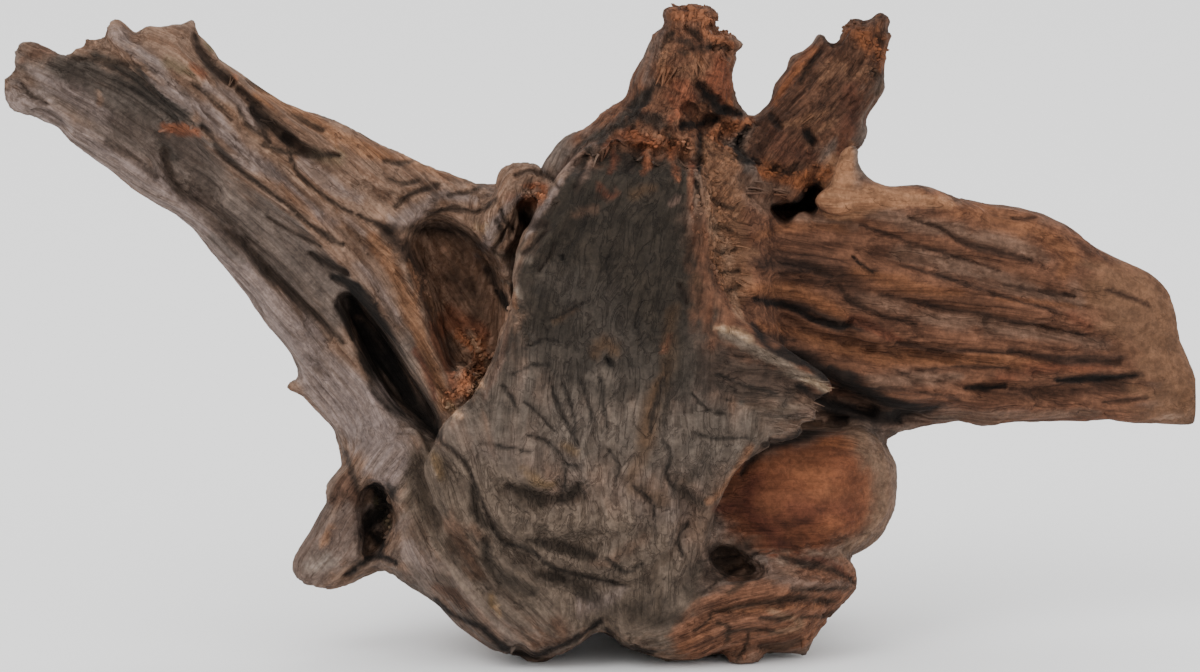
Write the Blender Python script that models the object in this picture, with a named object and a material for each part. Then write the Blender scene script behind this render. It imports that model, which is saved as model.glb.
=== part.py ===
"""A weathered stump of driftwood, 48 cm long, as one closed solid.

The stump has a thick trunk with a weathered slab on its front, a hollowed arm to
the left, a split plank to the right, a crumbled peak, a broken branch, a web with
a nub between branch and plank, and rounded root ends low down. Each of these is
lofted through cross-sections, all of them are fused, and the hollows, crevices
and crests are then pushed into or out of the skin.

World units are metres, with +Z up and the front facing -Y. The tables are in
millimetres on a drawing plane that leans with the eye's line of sight: "across"
runs to the right, "up" runs upwards, and depth is the world's Y, away from the eye.
"""

import math

import bmesh
import bpy
import numpy as np
from mathutils import Vector, noise

MM = 0.001

# Driving dimensions, in millimetres
SIGHT_TILT = math.radians(10.0)
GROUND = 8.5
ROUGH_VOXEL = 3.0
FINE_VOXEL = 2.2
ROUGH_SMOOTHING = 3
FINE_SMOOTHING = 1
TRIANGLES = 11200
RING_POINTS = 40
ROWS_PER_SPAN = 5
SECTION_POWER = 0.82
FLUTE_SHARE = 0.22
FLUTE_COUNT = 3.2
FLUTE_TWIST = 0.05
LUMP_SIZE = 26.0
LUMP_HEIGHT = 1.9
# how fast the smaller lumps fade, how much smaller each is, and how many sizes
LUMP_FRACTAL = (0.9, 2.1, 3)
# how soon a stroke fades where the skin turns away from it
FACING_GAIN = 2.5
SMOOTHING_LOSS = 0.8

SIGHT = Vector((0.0, math.cos(SIGHT_TILT), -math.sin(SIGHT_TILT)))
RISE = Vector((0.0, math.sin(SIGHT_TILT), math.cos(SIGHT_TILT)))

# Limbs. A row is one cross-section: the first edge's across and up, the second
# edge's across and up, the depth of the line between them, and how far the
# section swells to the front and to the back of that line.
ARM = (
    (-238, 232, -169, 255, -24, 7, 8),
    (-229, 219, -160, 248, -24, 13, 13),
    (-216, 212, -147, 238, -22, 15, 15),
    (-198, 199, -132, 227, -20, 16, 16),
    (-180, 186, -111, 218, -18, 17, 17),
    (-165, 177, -92, 210, -16, 18, 18),
    (-154, 164, -76, 201, -14, 19, 20),
    (-142, 148, -61, 195, -12, 20, 24),
    (-130, 133, -48, 190, -10, 21, 28),
    (-122, 119, -38, 183, -8, 22, 30),
    (-116, 105, -35, 161, -8, 24, 32),
    (-107, 93, -36, 133, -10, 26, 34),
    (-104, 81, -44, 105, -14, 28, 34),
    (-99, 69, -50, 77, -18, 28, 30),
    (-86, 55, -46, 43, -20, 24, 26),
)
TRUNK = (
    (-30, 16, 46, 14, -8, 28, 20),
    (-50, 26, 66, 22, 0, 48, 48),
    (-66, 47, 74, 43, 2, 52, 54),
    (-66, 69, 72, 65, 4, 50, 56),
    (-58, 89, 70, 87, 5, 45, 54),
    (-46, 109, 68, 107, 5, 40, 50),
    (-38, 131, 66, 129, 5, 34, 45),
    (-35, 155, 64, 151, 6, 30, 40),
    (-30, 177, 62, 173, 6, 28, 35),
    (-25, 197, 62, 190, 6, 25, 28),
    (-12, 213, 59, 206, 5, 21, 23),
    (4, 225, 56, 220, 3, 18, 19),
    (12, 236, 54, 233, 1, 16, 15),
    (18, 247, 53, 246, 0, 14, 13),
    (22, 256, 50, 256, 0, 12, 11),
    (25, 263, 45, 263, 0, 9, 9),
)
SLAB = (
    (-36, 21, 41, 22, -46, 10, 20),
    (-46, 37, 42, 37, -52, 12, 22),
    (-62, 57, 44, 57, -55, 14, 22),
    (-71, 77, 51, 77, -56, 13, 20),
    (-68, 88, 64, 87, -57, 12, 20),
    (-66, 95, 79, 93, -58, 10, 20),
    (-58, 102, 84, 101, -58, 9, 20),
    (-50, 108, 88, 107, -58, 8, 20),
    (-47, 115, 82, 114, -56, 9, 20),
    (-42, 124, 69, 124, -53, 11, 20),
    (-39, 135, 55, 135, -49, 10, 20),
    (-36, 157, 43, 157, -42, 10, 18),
    (-29, 177, 41, 176, -36, 9, 16),
    (-16, 196, 40, 194, -29, 8, 14),
    (0, 211, 38, 206, -22, 6, 10),
    (12, 221, 34, 217, -15, 4, 8),
)
PLANK = (
    (36, 177, 40, 95, 0, 20, 28),
    (62, 182, 76, 92, 0, 20, 28),
    (88, 184, 104, 93, 2, 19, 26),
    (108, 190, 122, 94, 4, 18, 25),
    (128, 189, 144, 96, 6, 17, 23),
    (146, 186, 164, 97, 8, 16, 21),
    (164, 183, 184, 97, 10, 15, 19),
    (180, 179, 200, 97, 12, 14, 17),
    (196, 171, 216, 96, 14, 12, 14),
    (212, 161, 230, 95, 17, 9, 11),
    (222, 156, 238, 94, 19, 6, 8),
    (229, 149, 240, 96, 21, 3, 5),
)
WEB = (
    (152, 183, 150, 174, -3, 4, 8),
    (130, 188, 126, 177, -7, 6, 12),
    (117, 190, 112, 179, -11, 7, 14),
    (107, 194, 100, 179, -14, 8, 14),
    (100, 201, 91, 180, -16, 8, 12),
    (95, 197, 86, 184, -17, 6, 8),
)
NUB = (
    (91, 189, 106, 190, -16, 7, 9),
    (93, 198, 102, 198, -17, 5, 7),
    (95, 204, 101, 204, -18, 4, 5),
    (96, 209, 100, 209, -18, 3, 3),
)
BRANCH = (
    (50, 184, 92, 176, 8, 20, 22),
    (57, 205, 95, 192, 10, 18, 20),
    (61, 216, 101, 209, 13, 16, 18),
    (67, 224, 106, 223, 16, 14, 16),
    (69, 233, 112, 233, 19, 13, 15),
    (76, 241, 114, 242, 22, 12, 13),
    (84, 249, 115, 250, 24, 11, 12),
    (92, 254, 116, 256, 26, 10, 10),
    (101, 258, 115, 260, 27, 7, 8),
)
DOME = (
    (48, 93, 48, 41, -12, 28, 35),
    (70, 94, 74, 41, -12, 28, 34),
    (90, 95, 92, 42, -11, 26, 30),
    (105, 94, 103, 45, -9, 20, 26),
    (113, 88, 112, 51, -6, 14, 20),
    (118, 80, 117, 61, -4, 8, 13),
    (119, 75, 119, 69, -3, 4, 7),
)
HEEL = (
    (36, 41, 38, 2, -28, 26, 28),
    (56, 44, 54, 5, -32, 25, 26),
    (72, 46, 70, 5, -33, 22, 24),
    (84, 46, 81, 7, -31, 18, 22),
    (95, 43, 90, 18, -30, 12, 18),
    (101, 38, 98, 26, -29, 7, 11),
    (103, 34, 102, 30, -28, 3, 5),
)
LEFT_STUB = (
    (-101, 86, -64, 57, -22, 24, 24),
    (-105, 74, -78, 46, -25, 20, 20),
    (-110, 63, -89, 39, -27, 16, 16),
    (-117, 51, -96, 35, -28, 13, 13),
    (-122, 43, -102, 31, -29, 10, 11),
    (-120, 35, -110, 29, -29, 6, 6),
)
LEFT_SKIRT = (
    (-88, 65, -86, 38, -28, 16, 24),
    (-68, 57, -68, 28, -36, 20, 30),
    (-52, 49, -54, 14, -42, 22, 34),
    (-36, 45, -37, 5, -46, 22, 36),
    (-22, 41, -22, 5, -46, 22, 36),
    (-10, 37, -10, 9, -45, 20, 36),
    (-1, 31, 0, 16, -43, 16, 30),
)
MIDDLE_SKIRT = (
    (2, 29, 2, 16, -43, 14, 30),
    (8, 33, 7, 8, -45, 20, 34),
    (20, 37, 18, 5, -45, 22, 36),
    (36, 37, 36, 3, -41, 22, 36),
    (52, 37, 51, 5, -37, 20, 34),
)
BACK_LOBE = (
    (-52, 118, 58, 124, 36, 30, 14),
    (-46, 92, 60, 96, 42, 34, 22),
    (-38, 66, 60, 68, 46, 34, 28),
    (-26, 46, 58, 48, 50, 30, 26),
    (-14, 32, 50, 32, 54, 24, 20),
    (2, 22, 40, 22, 58, 16, 13),
)
SHOULDER = (
    (26, 206, 60, 202, -10, 12, 12),
    (30, 184, 66, 181, -17, 14, 12),
    (32, 160, 66, 157, -22, 15, 12),
    (36, 138, 68, 135, -27, 15, 12),
    (40, 124, 72, 120, -28, 10, 12),
)
BRIDGE = (
    (-66, 188, -62, 110, 2, 10, 24),
    (-46, 192, -44, 104, 4, 10, 26),
    (-28, 192, -26, 104, 4, 10, 26),
    (-10, 194, -8, 110, 4, 10, 24),
)
LIMBS = (
    ARM,
    TRUNK,
    SLAB,
    PLANK,
    WEB,
    NUB,
    BRANCH,
    DOME,
    HEEL,
    LEFT_STUB,
    LEFT_SKIRT,
    MIDDLE_SKIRT,
    BACK_LOBE,
    SHOULDER,
    BRIDGE,
)

# Round sprigs. A point is its across, up, depth and radius.
KNOBS = (
    ((-232, 228, -26, 7.0), (-216, 217, -24, 9.0)),
    ((-229, 244, -26, 6.5), (-213, 232, -24, 9.0)),
    ((-195, 252, -28, 5.5), (-184, 240, -26, 8.0)),
    ((-169, 253, -22, 5.0), (-160, 240, -22, 8.0)),
    ((-40, 189, -18, 6.0), (-35, 193, -20, 7.5), (-29, 193, -20, 7.5), (-25, 188, -20, 6.0)),
    ((-36, 190, -26, 5.0), (-42, 178, -28, 5.5), (-47, 167, -24, 5.0)),
    ((-34, 168, 4, 14.0), (-33, 180, -6, 11.0), (-32, 188, -12, 7.0)),
    ((96, 183, -18, 5.0), (89, 184, -20, 4.0)),
    ((92, 246, 18, 6.0), (88, 248, 18, 4.0)),
)
SPIKES = (
    ((-108, 106, -10, 9.0), (-119, 111, -12, 4.5), (-126, 112, -12, 0.9)),
    ((-22, 22, -34, 14.0), (-27, 10, -36, 10.0), (-30, 0, -36, 7.0)),
    ((58, 16, -38, 12.0), (57, 6, -42, 8.0), (56, -1, -43, 6.0)),
    ((46, 136, -52, 6.0), (62, 127, -58, 5.5), (78, 118, -61, 4.5), (91, 110, -62, 2.6)),
    ((42, 250, 0, 7.0), (50, 249, -2, 3.2), (55, 248, -3, 0.9)),
    ((36, 258, 0, 5.0), (42, 259, 0, 1.2)),
    ((-200, 244, -24, 6.0), (-207, 249, -25, 1.2)),
    ((112, 102, 2, 8.0), (116, 95, 2, 4.0), (117, 91, 2, 1.5)),
    ((78, 12, -34, 8.0), (80, 6, -34, 3.5), (82, 3, -34, 1.2)),
)

# The hidden back: a root that reaches down and back, two side roots and a stub
BACK_ROOTS = (
    ((20, 84, 34, 42.0), (18, 62, 50, 34.0), (20, 43, 60, 27.0), (22, 18, 64, 22.0)),
    ((-6, 106, 32, 34.0), (-30, 90, 46, 25.0), (-50, 78, 56, 20.0)),
    ((32, 146, 24, 30.0), (44, 160, 36, 20.0), (50, 178, 44, 14.0)),
    ((46, 76, 32, 34.0), (72, 66, 45, 24.0), (90, 62, 52, 19.0)),
)

# Strokes push the skin along the line of sight. A stroke is its depth, positive
# into the wood, how steep its walls are from 0 to 1, the nearest and furthest
# depth it acts at, and its points: across, up and half-width.
ALL = (-200, 200)
NEAR = (-200, -30)
FAR = (-37, 200)
HOLLOWS = (
    # the pocket between arm and slab
    (32.0, 0.55, FAR, ((-66, 168, 13), (-56, 154, 18), (-53, 134, 16), (-52, 114, 10), (-56, 104, 4))),
    # the long black gap in the arm
    (26.0, 0.5, ALL, ((-102, 146, 4), (-92, 130, 7), (-82, 114, 8), (-72, 101, 7), (-66, 93, 4))),
    # the knot hole over the left stub
    (20.0, 0.6, ALL, ((-91, 67, 7), (-90, 59, 9), (-92, 50, 6), (-94, 46, 4))),
    # the dark gap behind the web
    (26.0, 0.6, FAR, ((72, 180, 4), (80, 183, 6), (86, 188, 4))),
    # the scoop in the arm's end
    (9.0, 0.1, ALL, ((-208, 232, 11), (-188, 222, 16), (-168, 204, 13), (-156, 190, 8))),
    # the hollow in the ring-shaped knob
    (9.0, 0.4, ALL, ((-31, 185, 4), (-31, 180, 4.5), (-34, 172, 4))),
    # pits in the crumbled peak
    (8.0, 0.3, ALL, ((0, 210, 5), (12, 213, 7), (24, 209, 5))),
    (9.0, 0.4, ALL, ((34, 222, 4), (44, 214, 6), (53, 210, 4))),
    (8.0, 0.3, ALL, ((56, 196, 4), (60, 188, 5), (66, 184, 4))),
    # crevices of the plank
    (9.0, 0.3, FAR, ((62, 146, 4), (76, 136, 5), (104, 127, 4), (140, 122, 3), (176, 116, 2))),
    (13.0, 0.3, FAR, ((64, 124, 7), (84, 112, 7), (108, 102, 5), (128, 97, 3))),
    (5.0, 0.1, FAR, ((150, 109, 3), (180, 109, 5), (208, 112, 3))),
    (4.0, 0.1, FAR, ((92, 152, 3), (120, 146, 4), (160, 136, 4), (196, 132, 2))),
    (4.0, 0.1, FAR, ((110, 170, 3), (140, 164, 4), (172, 152, 4), (196, 142, 2))),
    # the shaded steps where slab, plank and root ends meet
    (12.0, 0.4, FAR, ((66, 98, 4), (84, 97, 5), (98, 96, 4))),
    (16.0, 0.5, ALL, ((46, 44, 5), (52, 40, 7), (62, 38, 4))),
    # the groove behind the arm's upper rim
    (8.0, 0.4, ALL, ((-166, 248, 3), (-152, 233, 4), (-136, 220, 3), (-120, 206, 3.5), (-108, 198, 2))),
    (6.0, 0.2, ALL, ((-176, 196, 4), (-150, 178, 4), (-128, 154, 5), (-110, 130, 4))),
    # folds of the lower slab
    (6.0, 0.2, NEAR, ((-70, 92, 3), (-58, 76, 4), (-44, 54, 4), (-24, 38, 4), (0, 32, 3), (22, 34, 2))),
    (5.0, 0.0, NEAR, ((-40, 70, 6), (-24, 66, 7), (-8, 68, 5))),
    (5.0, 0.0, NEAR, ((-26, 52, 5), (-10, 48, 6), (6, 50, 4))),
    (6.0, 0.2, NEAR, ((28, 76, 4), (34, 62, 5), (30, 48, 4), (20, 38, 3))),
    (6.0, 0.2, NEAR, ((-60, 50, 5), (-48, 36, 5), (-34, 26, 4))),
)
CRESTS = (
    # the ridge along the arm and the rim over the black gap
    (-7.5, 0.0, ALL, ((-194, 250, 5), (-172, 228, 7), (-140, 196, 7), (-112, 172, 7), (-90, 144, 6), (-74, 118, 5), (-62, 102, 3))),
    (-5.0, 0.0, ALL, ((-228, 222, 7), (-206, 212, 8), (-170, 188, 8), (-140, 158, 7), (-118, 124, 8))),
    (-5.0, 0.0, ALL, ((-160, 240, 4), (-130, 218, 6), (-96, 196, 6), (-66, 186, 5))),
    (-5.0, 0.0, ALL, ((-72, 92, 10), (-84, 80, 12), (-74, 60, 10))),
    # the torn crest on the slab's right edge
    (-6.0, 0.2, NEAR, ((38, 200, 4), (40, 180, 5), (42, 160, 5), (46, 146, 5), (56, 132, 6))),
    # the plank's ribs
    (-5.0, 0.0, FAR, ((66, 158, 6), (90, 160, 7), (130, 154, 6), (180, 140, 4))),
    (-5.0, 0.0, FAR, ((70, 140, 5), (88, 134, 5), (112, 130, 4))),
    (-6.0, 0.0, FAR, ((96, 116, 6), (130, 108, 6), (170, 104, 4))),
    # ribs of the low root ends
    (-4.0, 0.0, ALL, ((44, 26, 5), (66, 32, 6), (94, 34, 4))),
    (-4.0, 0.0, ALL, ((46, 14, 5), (62, 20, 5), (82, 24, 4))),
    (-2.5, 0.0, FAR, ((112, 88, 5), (115, 72, 5), (108, 52, 5), (96, 46, 4))),
    # burls of the lower slab
    (-4.0, 0.0, NEAR, ((-16, 88, 10), (-4, 76, 9))),
    (-5.0, 0.0, NEAR, ((8, 60, 12), (2, 44, 8))),
)
BACK_STROKES = (
    (7.0, 0.2, ALL, ((12, 228, 4), (6, 190, 6), (-4, 150, 7), (-12, 110, 7), (-12, 60, 6))),
    (7.0, 0.2, ALL, ((36, 214, 4), (34, 170, 5), (30, 128, 6), (38, 84, 6))),
    (12.0, 0.4, ALL, ((-26, 160, 6), (-32, 140, 9), (-28, 118, 7))),
    (-4.0, 0.0, ALL, ((22, 226, 6), (18, 180, 8), (12, 130, 9), (8, 90, 9))),
    (6.0, 0.2, ALL, ((64, 160, 4), (110, 158, 6), (160, 148, 5), (206, 136, 2))),
    (6.0, 0.2, ALL, ((72, 118, 4), (130, 122, 6), (196, 112, 3))),
    (-4.0, 0.0, ALL, ((70, 140, 7), (130, 138, 7), (200, 124, 5))),
    (7.0, 0.2, ALL, ((-222, 232, 3), (-166, 200, 6), (-116, 154, 7), (-90, 104, 6))),
    (6.0, 0.2, ALL, ((-188, 238, 3), (-128, 200, 5), (-76, 160, 6), (-58, 130, 4))),
    (-4.0, 0.0, ALL, ((-204, 236, 6), (-148, 200, 7), (-98, 156, 8), (-74, 112, 7))),
    (6.0, 0.3, ALL, ((74, 200, 3), (86, 222, 4), (102, 244, 2))),
)


def seen(across, up, depth):
    """The point at this depth that the eye sees at (across, up), in millimetres."""
    height = (up - depth * math.sin(SIGHT_TILT)) / math.cos(SIGHT_TILT)
    return Vector((across, depth, height))


def spline(rows, steps):
    """Rows along a Catmull-Rom spline through the given rows."""
    rows = np.array(rows, float)
    rows = np.vstack([2 * rows[0] - rows[1], rows, 2 * rows[-1] - rows[-2]])
    made = []
    for a, b, c, d in zip(rows, rows[1:], rows[2:], rows[3:]):
        for t in np.linspace(0.0, 1.0, steps, endpoint=False):
            made.append(
                b
                + 0.5 * t * (c - a)
                + t * t * (a - 2.5 * b + 2 * c - 0.5 * d)
                + 0.5 * t**3 * (3 * b - a - 3 * c + d)
            )
    made.append(rows[-2])
    return np.array(made)


def skin_rings(shape, rings):
    """Adds a closed tube through these rings of points to the mesh."""
    loops = [[shape.verts.new(point) for point in ring] for ring in rings]
    for ring, following in zip(loops, loops[1:]):
        for i in range(len(ring)):
            j = (i + 1) % len(ring)
            shape.faces.new((ring[i], ring[j], following[j], following[i]))
    shape.faces.new(loops[0][::-1])
    shape.faces.new(loops[-1])


def add_limb(shape, stations, seed):
    """Lofts a limb through its stations, with long flutes on its front and back."""
    rings = []
    for n, row in enumerate(spline(stations, ROWS_PER_SPAN)):
        middle = seen((row[0] + row[2]) / 2, (row[1] + row[3]) / 2, row[4])
        half = seen(row[2], row[3], row[4]) - middle
        ring = []
        for k in range(RING_POINTS):
            angle = 2 * math.pi * k / RING_POINTS
            across, deep = math.cos(angle), math.sin(angle)
            spot = Vector((across, deep, 0.0)) * FLUTE_COUNT
            spot.z = seed + n * FLUTE_TWIST
            flute = noise.noise(spot) + 0.5 * noise.noise(spot * 2.3)
            swell = (row[6] if deep > 0 else row[5]) * (1 + FLUTE_SHARE * flute)
            across = math.copysign(abs(across) ** SECTION_POWER, across)
            deep = math.copysign(abs(deep) ** SECTION_POWER, deep)
            ring.append((middle + half * across + SIGHT * (swell * deep)) * MM)
        rings.append(ring)
    skin_rings(shape, rings)


def add_sprig(shape, points):
    """Lofts a round, tapering sprig along its points."""
    rows = spline(points, ROWS_PER_SPAN)
    centres = [seen(*row[:3]) for row in rows]
    rings = []
    for n, centre in enumerate(centres):
        heading = centres[min(n + 1, len(rows) - 1)] - centres[max(n - 1, 0)]
        side = heading.cross(RISE if abs(heading.normalized().z) < 0.9 else SIGHT)
        side.normalize()
        other = heading.cross(side).normalized()
        ring = []
        for k in range(RING_POINTS // 2):
            angle = 4 * math.pi * k / RING_POINTS
            spoke = side * math.cos(angle) + other * math.sin(angle)
            ring.append((centre + spoke * max(rows[n][3], 0.5)) * MM)
        rings.append(ring)
    skin_rings(shape, rings)


def evaluated(mesh, *modifiers):
    """A copy of the mesh after these modifiers, given as (type, settings) pairs."""
    carrier = bpy.data.objects.new("carrier", mesh)
    bpy.context.scene.collection.objects.link(carrier)
    for kind, settings in modifiers:
        modifier = carrier.modifiers.new(kind.title(), kind)
        for name, value in settings.items():
            setattr(modifier, name, value)
    graph = bpy.context.evaluated_depsgraph_get()
    made = bpy.data.meshes.new_from_object(carrier.evaluated_get(graph))
    bpy.data.objects.remove(carrier)
    return made


def fused(shape, voxel, smoothing):
    """One closed skin round everything in the mesh, with its creases eased."""
    bmesh.ops.recalc_face_normals(shape, faces=shape.faces)
    mesh = bpy.data.meshes.new("fused")
    shape.to_mesh(mesh)
    return evaluated(
        mesh,
        ("REMESH", {"mode": "VOXEL", "voxel_size": voxel * MM}),
        ("SMOOTH", {"factor": 0.5, "iterations": smoothing}),
    )


def stroke_share(points, flat, wall):
    """How much of a stroke acts at each point of the drawing plane, from 0 to 1."""
    nearest = np.full(len(flat), 9.0)
    points = spline(points, 4)
    for start, end in zip(points, points[1:]):
        run = end[:2] - start[:2]
        along = np.clip((flat - start[:2]) @ run / (run @ run), 0, 1)
        away = np.linalg.norm(flat - start[:2] - along[:, None] * run, axis=1)
        nearest = np.minimum(nearest, away / (start[2] + along * (end[2] - start[2])))
    fall = np.clip((1 - nearest) / (1 - wall), 0, 1)
    return fall * fall * (3 - 2 * fall)


def vertex_arrays(mesh):
    """The positions in millimetres and the normals of a mesh's vertices."""
    spots = np.empty(len(mesh.vertices) * 3)
    mesh.vertices.foreach_get("co", spots)
    normals = np.empty(len(mesh.vertices) * 3)
    mesh.vertices.foreach_get("normal", normals)
    return spots.reshape(-1, 3) / MM, normals.reshape(-1, 3)


def carve(mesh, strokes, inward):
    """Pushes the skin that faces against inward, stroke by stroke, along inward."""
    spots, normals = vertex_arrays(mesh)
    flat = np.column_stack([spots[:, 0], spots @ np.array(RISE)])
    facing = np.clip(-(normals @ np.array(inward)) * FACING_GAIN, 0, 1)
    push = np.zeros(len(spots))
    for depth, wall, (nearest, furthest), points in strokes:
        inside = (spots[:, 1] > nearest) & (spots[:, 1] < furthest)
        push[inside] += depth * stroke_share(points, flat[inside], wall)
    spots += np.outer(push * facing, np.array(inward))
    mesh.vertices.foreach_set("co", (spots * MM).ravel())
    mesh.update()


def roughen(mesh, swell):
    """Moves the skin out by swell millimetres and gives it low, uneven lumps."""
    spots, normals = vertex_arrays(mesh)
    lift = [
        swell + LUMP_HEIGHT * noise.fractal(Vector(spot / LUMP_SIZE), *LUMP_FRACTAL)
        for spot in spots
    ]
    spots += normals * np.array(lift)[:, None]
    mesh.vertices.foreach_set("co", (spots * MM).ravel())
    mesh.update()


def with_sprigs(mesh, sprigs):
    """The mesh's faces and a tube for each sprig, not yet joined."""
    shape = bmesh.new()
    shape.from_mesh(mesh)
    for points in sprigs:
        add_sprig(shape, points)
    return shape


def thinned(mesh):
    """The mesh with no more than the wanted number of triangles."""
    triangles = sum(len(face.vertices) - 2 for face in mesh.polygons)
    return evaluated(
        mesh,
        ("TRIANGULATE", {}),
        ("DECIMATE", {"ratio": min(1.0, TRIANGLES / triangles)}),
    )


def stood_on_its_feet(mesh):
    """Cuts the lowest bumps flat and puts the origin under the box's middle."""
    shape = bmesh.new()
    shape.from_mesh(mesh)
    parts = shape.verts[:] + shape.edges[:] + shape.faces[:]
    cut = bmesh.ops.bisect_plane(
        shape,
        geom=parts,
        dist=1e-5,
        plane_co=(0, 0, GROUND * MM),
        plane_no=(0, 0, -1),
        clear_outer=True,
    )
    rims = [item for item in cut["geom_cut"] if isinstance(item, bmesh.types.BMEdge)]
    bmesh.ops.contextual_create(shape, geom=rims)
    corners = np.array([vertex.co for vertex in shape.verts])
    middle = (corners.min(0) + corners.max(0)) / 2
    shift = Vector((-middle[0], -middle[1], -GROUND * MM))
    bmesh.ops.translate(shape, verts=shape.verts, vec=shift)
    shape.to_mesh(mesh)
    shape.free()
    return mesh


def weathered_wood():
    """The plain colour of the wood."""
    material = bpy.data.materials.new("weathered_wood")
    material.use_nodes = True
    surface = material.node_tree.nodes["Principled BSDF"]
    surface.inputs["Base Color"].default_value = (0.12, 0.082, 0.062, 1.0)
    surface.inputs["Roughness"].default_value = 0.85
    surface.inputs["Metallic"].default_value = 0.0
    return material


def driftwood():
    """The whole stump as one object."""
    shape = bmesh.new()
    for seed, stations in enumerate(LIMBS):
        add_limb(shape, stations, 7.0 * seed)
    for points in BACK_ROOTS:
        add_sprig(shape, points)
    mesh = fused(shape, ROUGH_VOXEL, ROUGH_SMOOTHING)
    roughen(mesh, SMOOTHING_LOSS)
    mesh = fused(with_sprigs(mesh, KNOBS), FINE_VOXEL, FINE_SMOOTHING)
    carve(mesh, CRESTS + HOLLOWS, SIGHT)
    carve(mesh, BACK_STROKES, -SIGHT)
    mesh = fused(with_sprigs(mesh, SPIKES), FINE_VOXEL, FINE_SMOOTHING)
    mesh = stood_on_its_feet(thinned(mesh))
    mesh.name = "driftwood"
    mesh.materials.append(weathered_wood())
    mesh.shade_smooth()
    stump = bpy.data.objects.new("driftwood", mesh)
    bpy.context.scene.collection.objects.link(stump)
    return stump


for leftover in list(bpy.data.objects):
    bpy.data.objects.remove(leftover)
driftwood()
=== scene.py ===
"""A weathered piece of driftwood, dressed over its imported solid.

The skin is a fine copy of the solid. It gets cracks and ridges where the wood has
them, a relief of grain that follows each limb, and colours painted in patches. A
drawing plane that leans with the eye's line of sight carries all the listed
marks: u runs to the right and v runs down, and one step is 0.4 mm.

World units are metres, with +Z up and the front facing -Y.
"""

import logging
import math
from dataclasses import dataclass
from enum import Enum

import bmesh
import bpy
import numpy as np
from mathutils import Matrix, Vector

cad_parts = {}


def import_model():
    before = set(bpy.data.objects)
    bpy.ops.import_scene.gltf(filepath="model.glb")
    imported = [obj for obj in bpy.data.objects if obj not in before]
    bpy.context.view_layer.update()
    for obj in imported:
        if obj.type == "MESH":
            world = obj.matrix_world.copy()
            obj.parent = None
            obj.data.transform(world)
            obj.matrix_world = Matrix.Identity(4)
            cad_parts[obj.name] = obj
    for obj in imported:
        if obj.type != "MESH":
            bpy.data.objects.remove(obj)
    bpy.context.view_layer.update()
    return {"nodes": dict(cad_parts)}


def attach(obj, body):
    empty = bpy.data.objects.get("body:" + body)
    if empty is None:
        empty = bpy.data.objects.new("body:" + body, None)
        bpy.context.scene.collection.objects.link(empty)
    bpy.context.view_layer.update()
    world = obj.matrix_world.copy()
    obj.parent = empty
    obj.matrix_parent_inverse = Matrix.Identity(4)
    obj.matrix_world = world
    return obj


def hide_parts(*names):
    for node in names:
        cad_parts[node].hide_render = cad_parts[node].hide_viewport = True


log = logging.getLogger("driftwood")

Point = tuple[float, float, float]
Socket = bpy.types.NodeSocket

# A millimetre, and the plane's step in millimetres.
MM = 0.001
STEP_MM = 0.4
# What the studio's light leaves of a colour.
LIGHT_SHARE = 0.53
# Depths before and beyond all of the wood, in mm.
NEAREST = -200.0
FARTHEST = 200.0
# The half-width of a limb whose grain isn't spread or squeezed.
USUAL_WIDTH = 80.0
FIBRE_PARTS = ("Fibres", "Lines", "Height", "Wrinkles")


def linear(red: int, green: int, blue: int) -> tuple[float, float, float]:
    """The wood's own linear colour, for the sRGB colour that the studio's light gives it."""
    shares = (value / 255 for value in (red, green, blue))
    return tuple(
        LIGHT_SHARE * (c / 12.92 if c <= 0.04045 else ((c + 0.055) / 1.055) ** 2.4) for c in shares
    )


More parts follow.
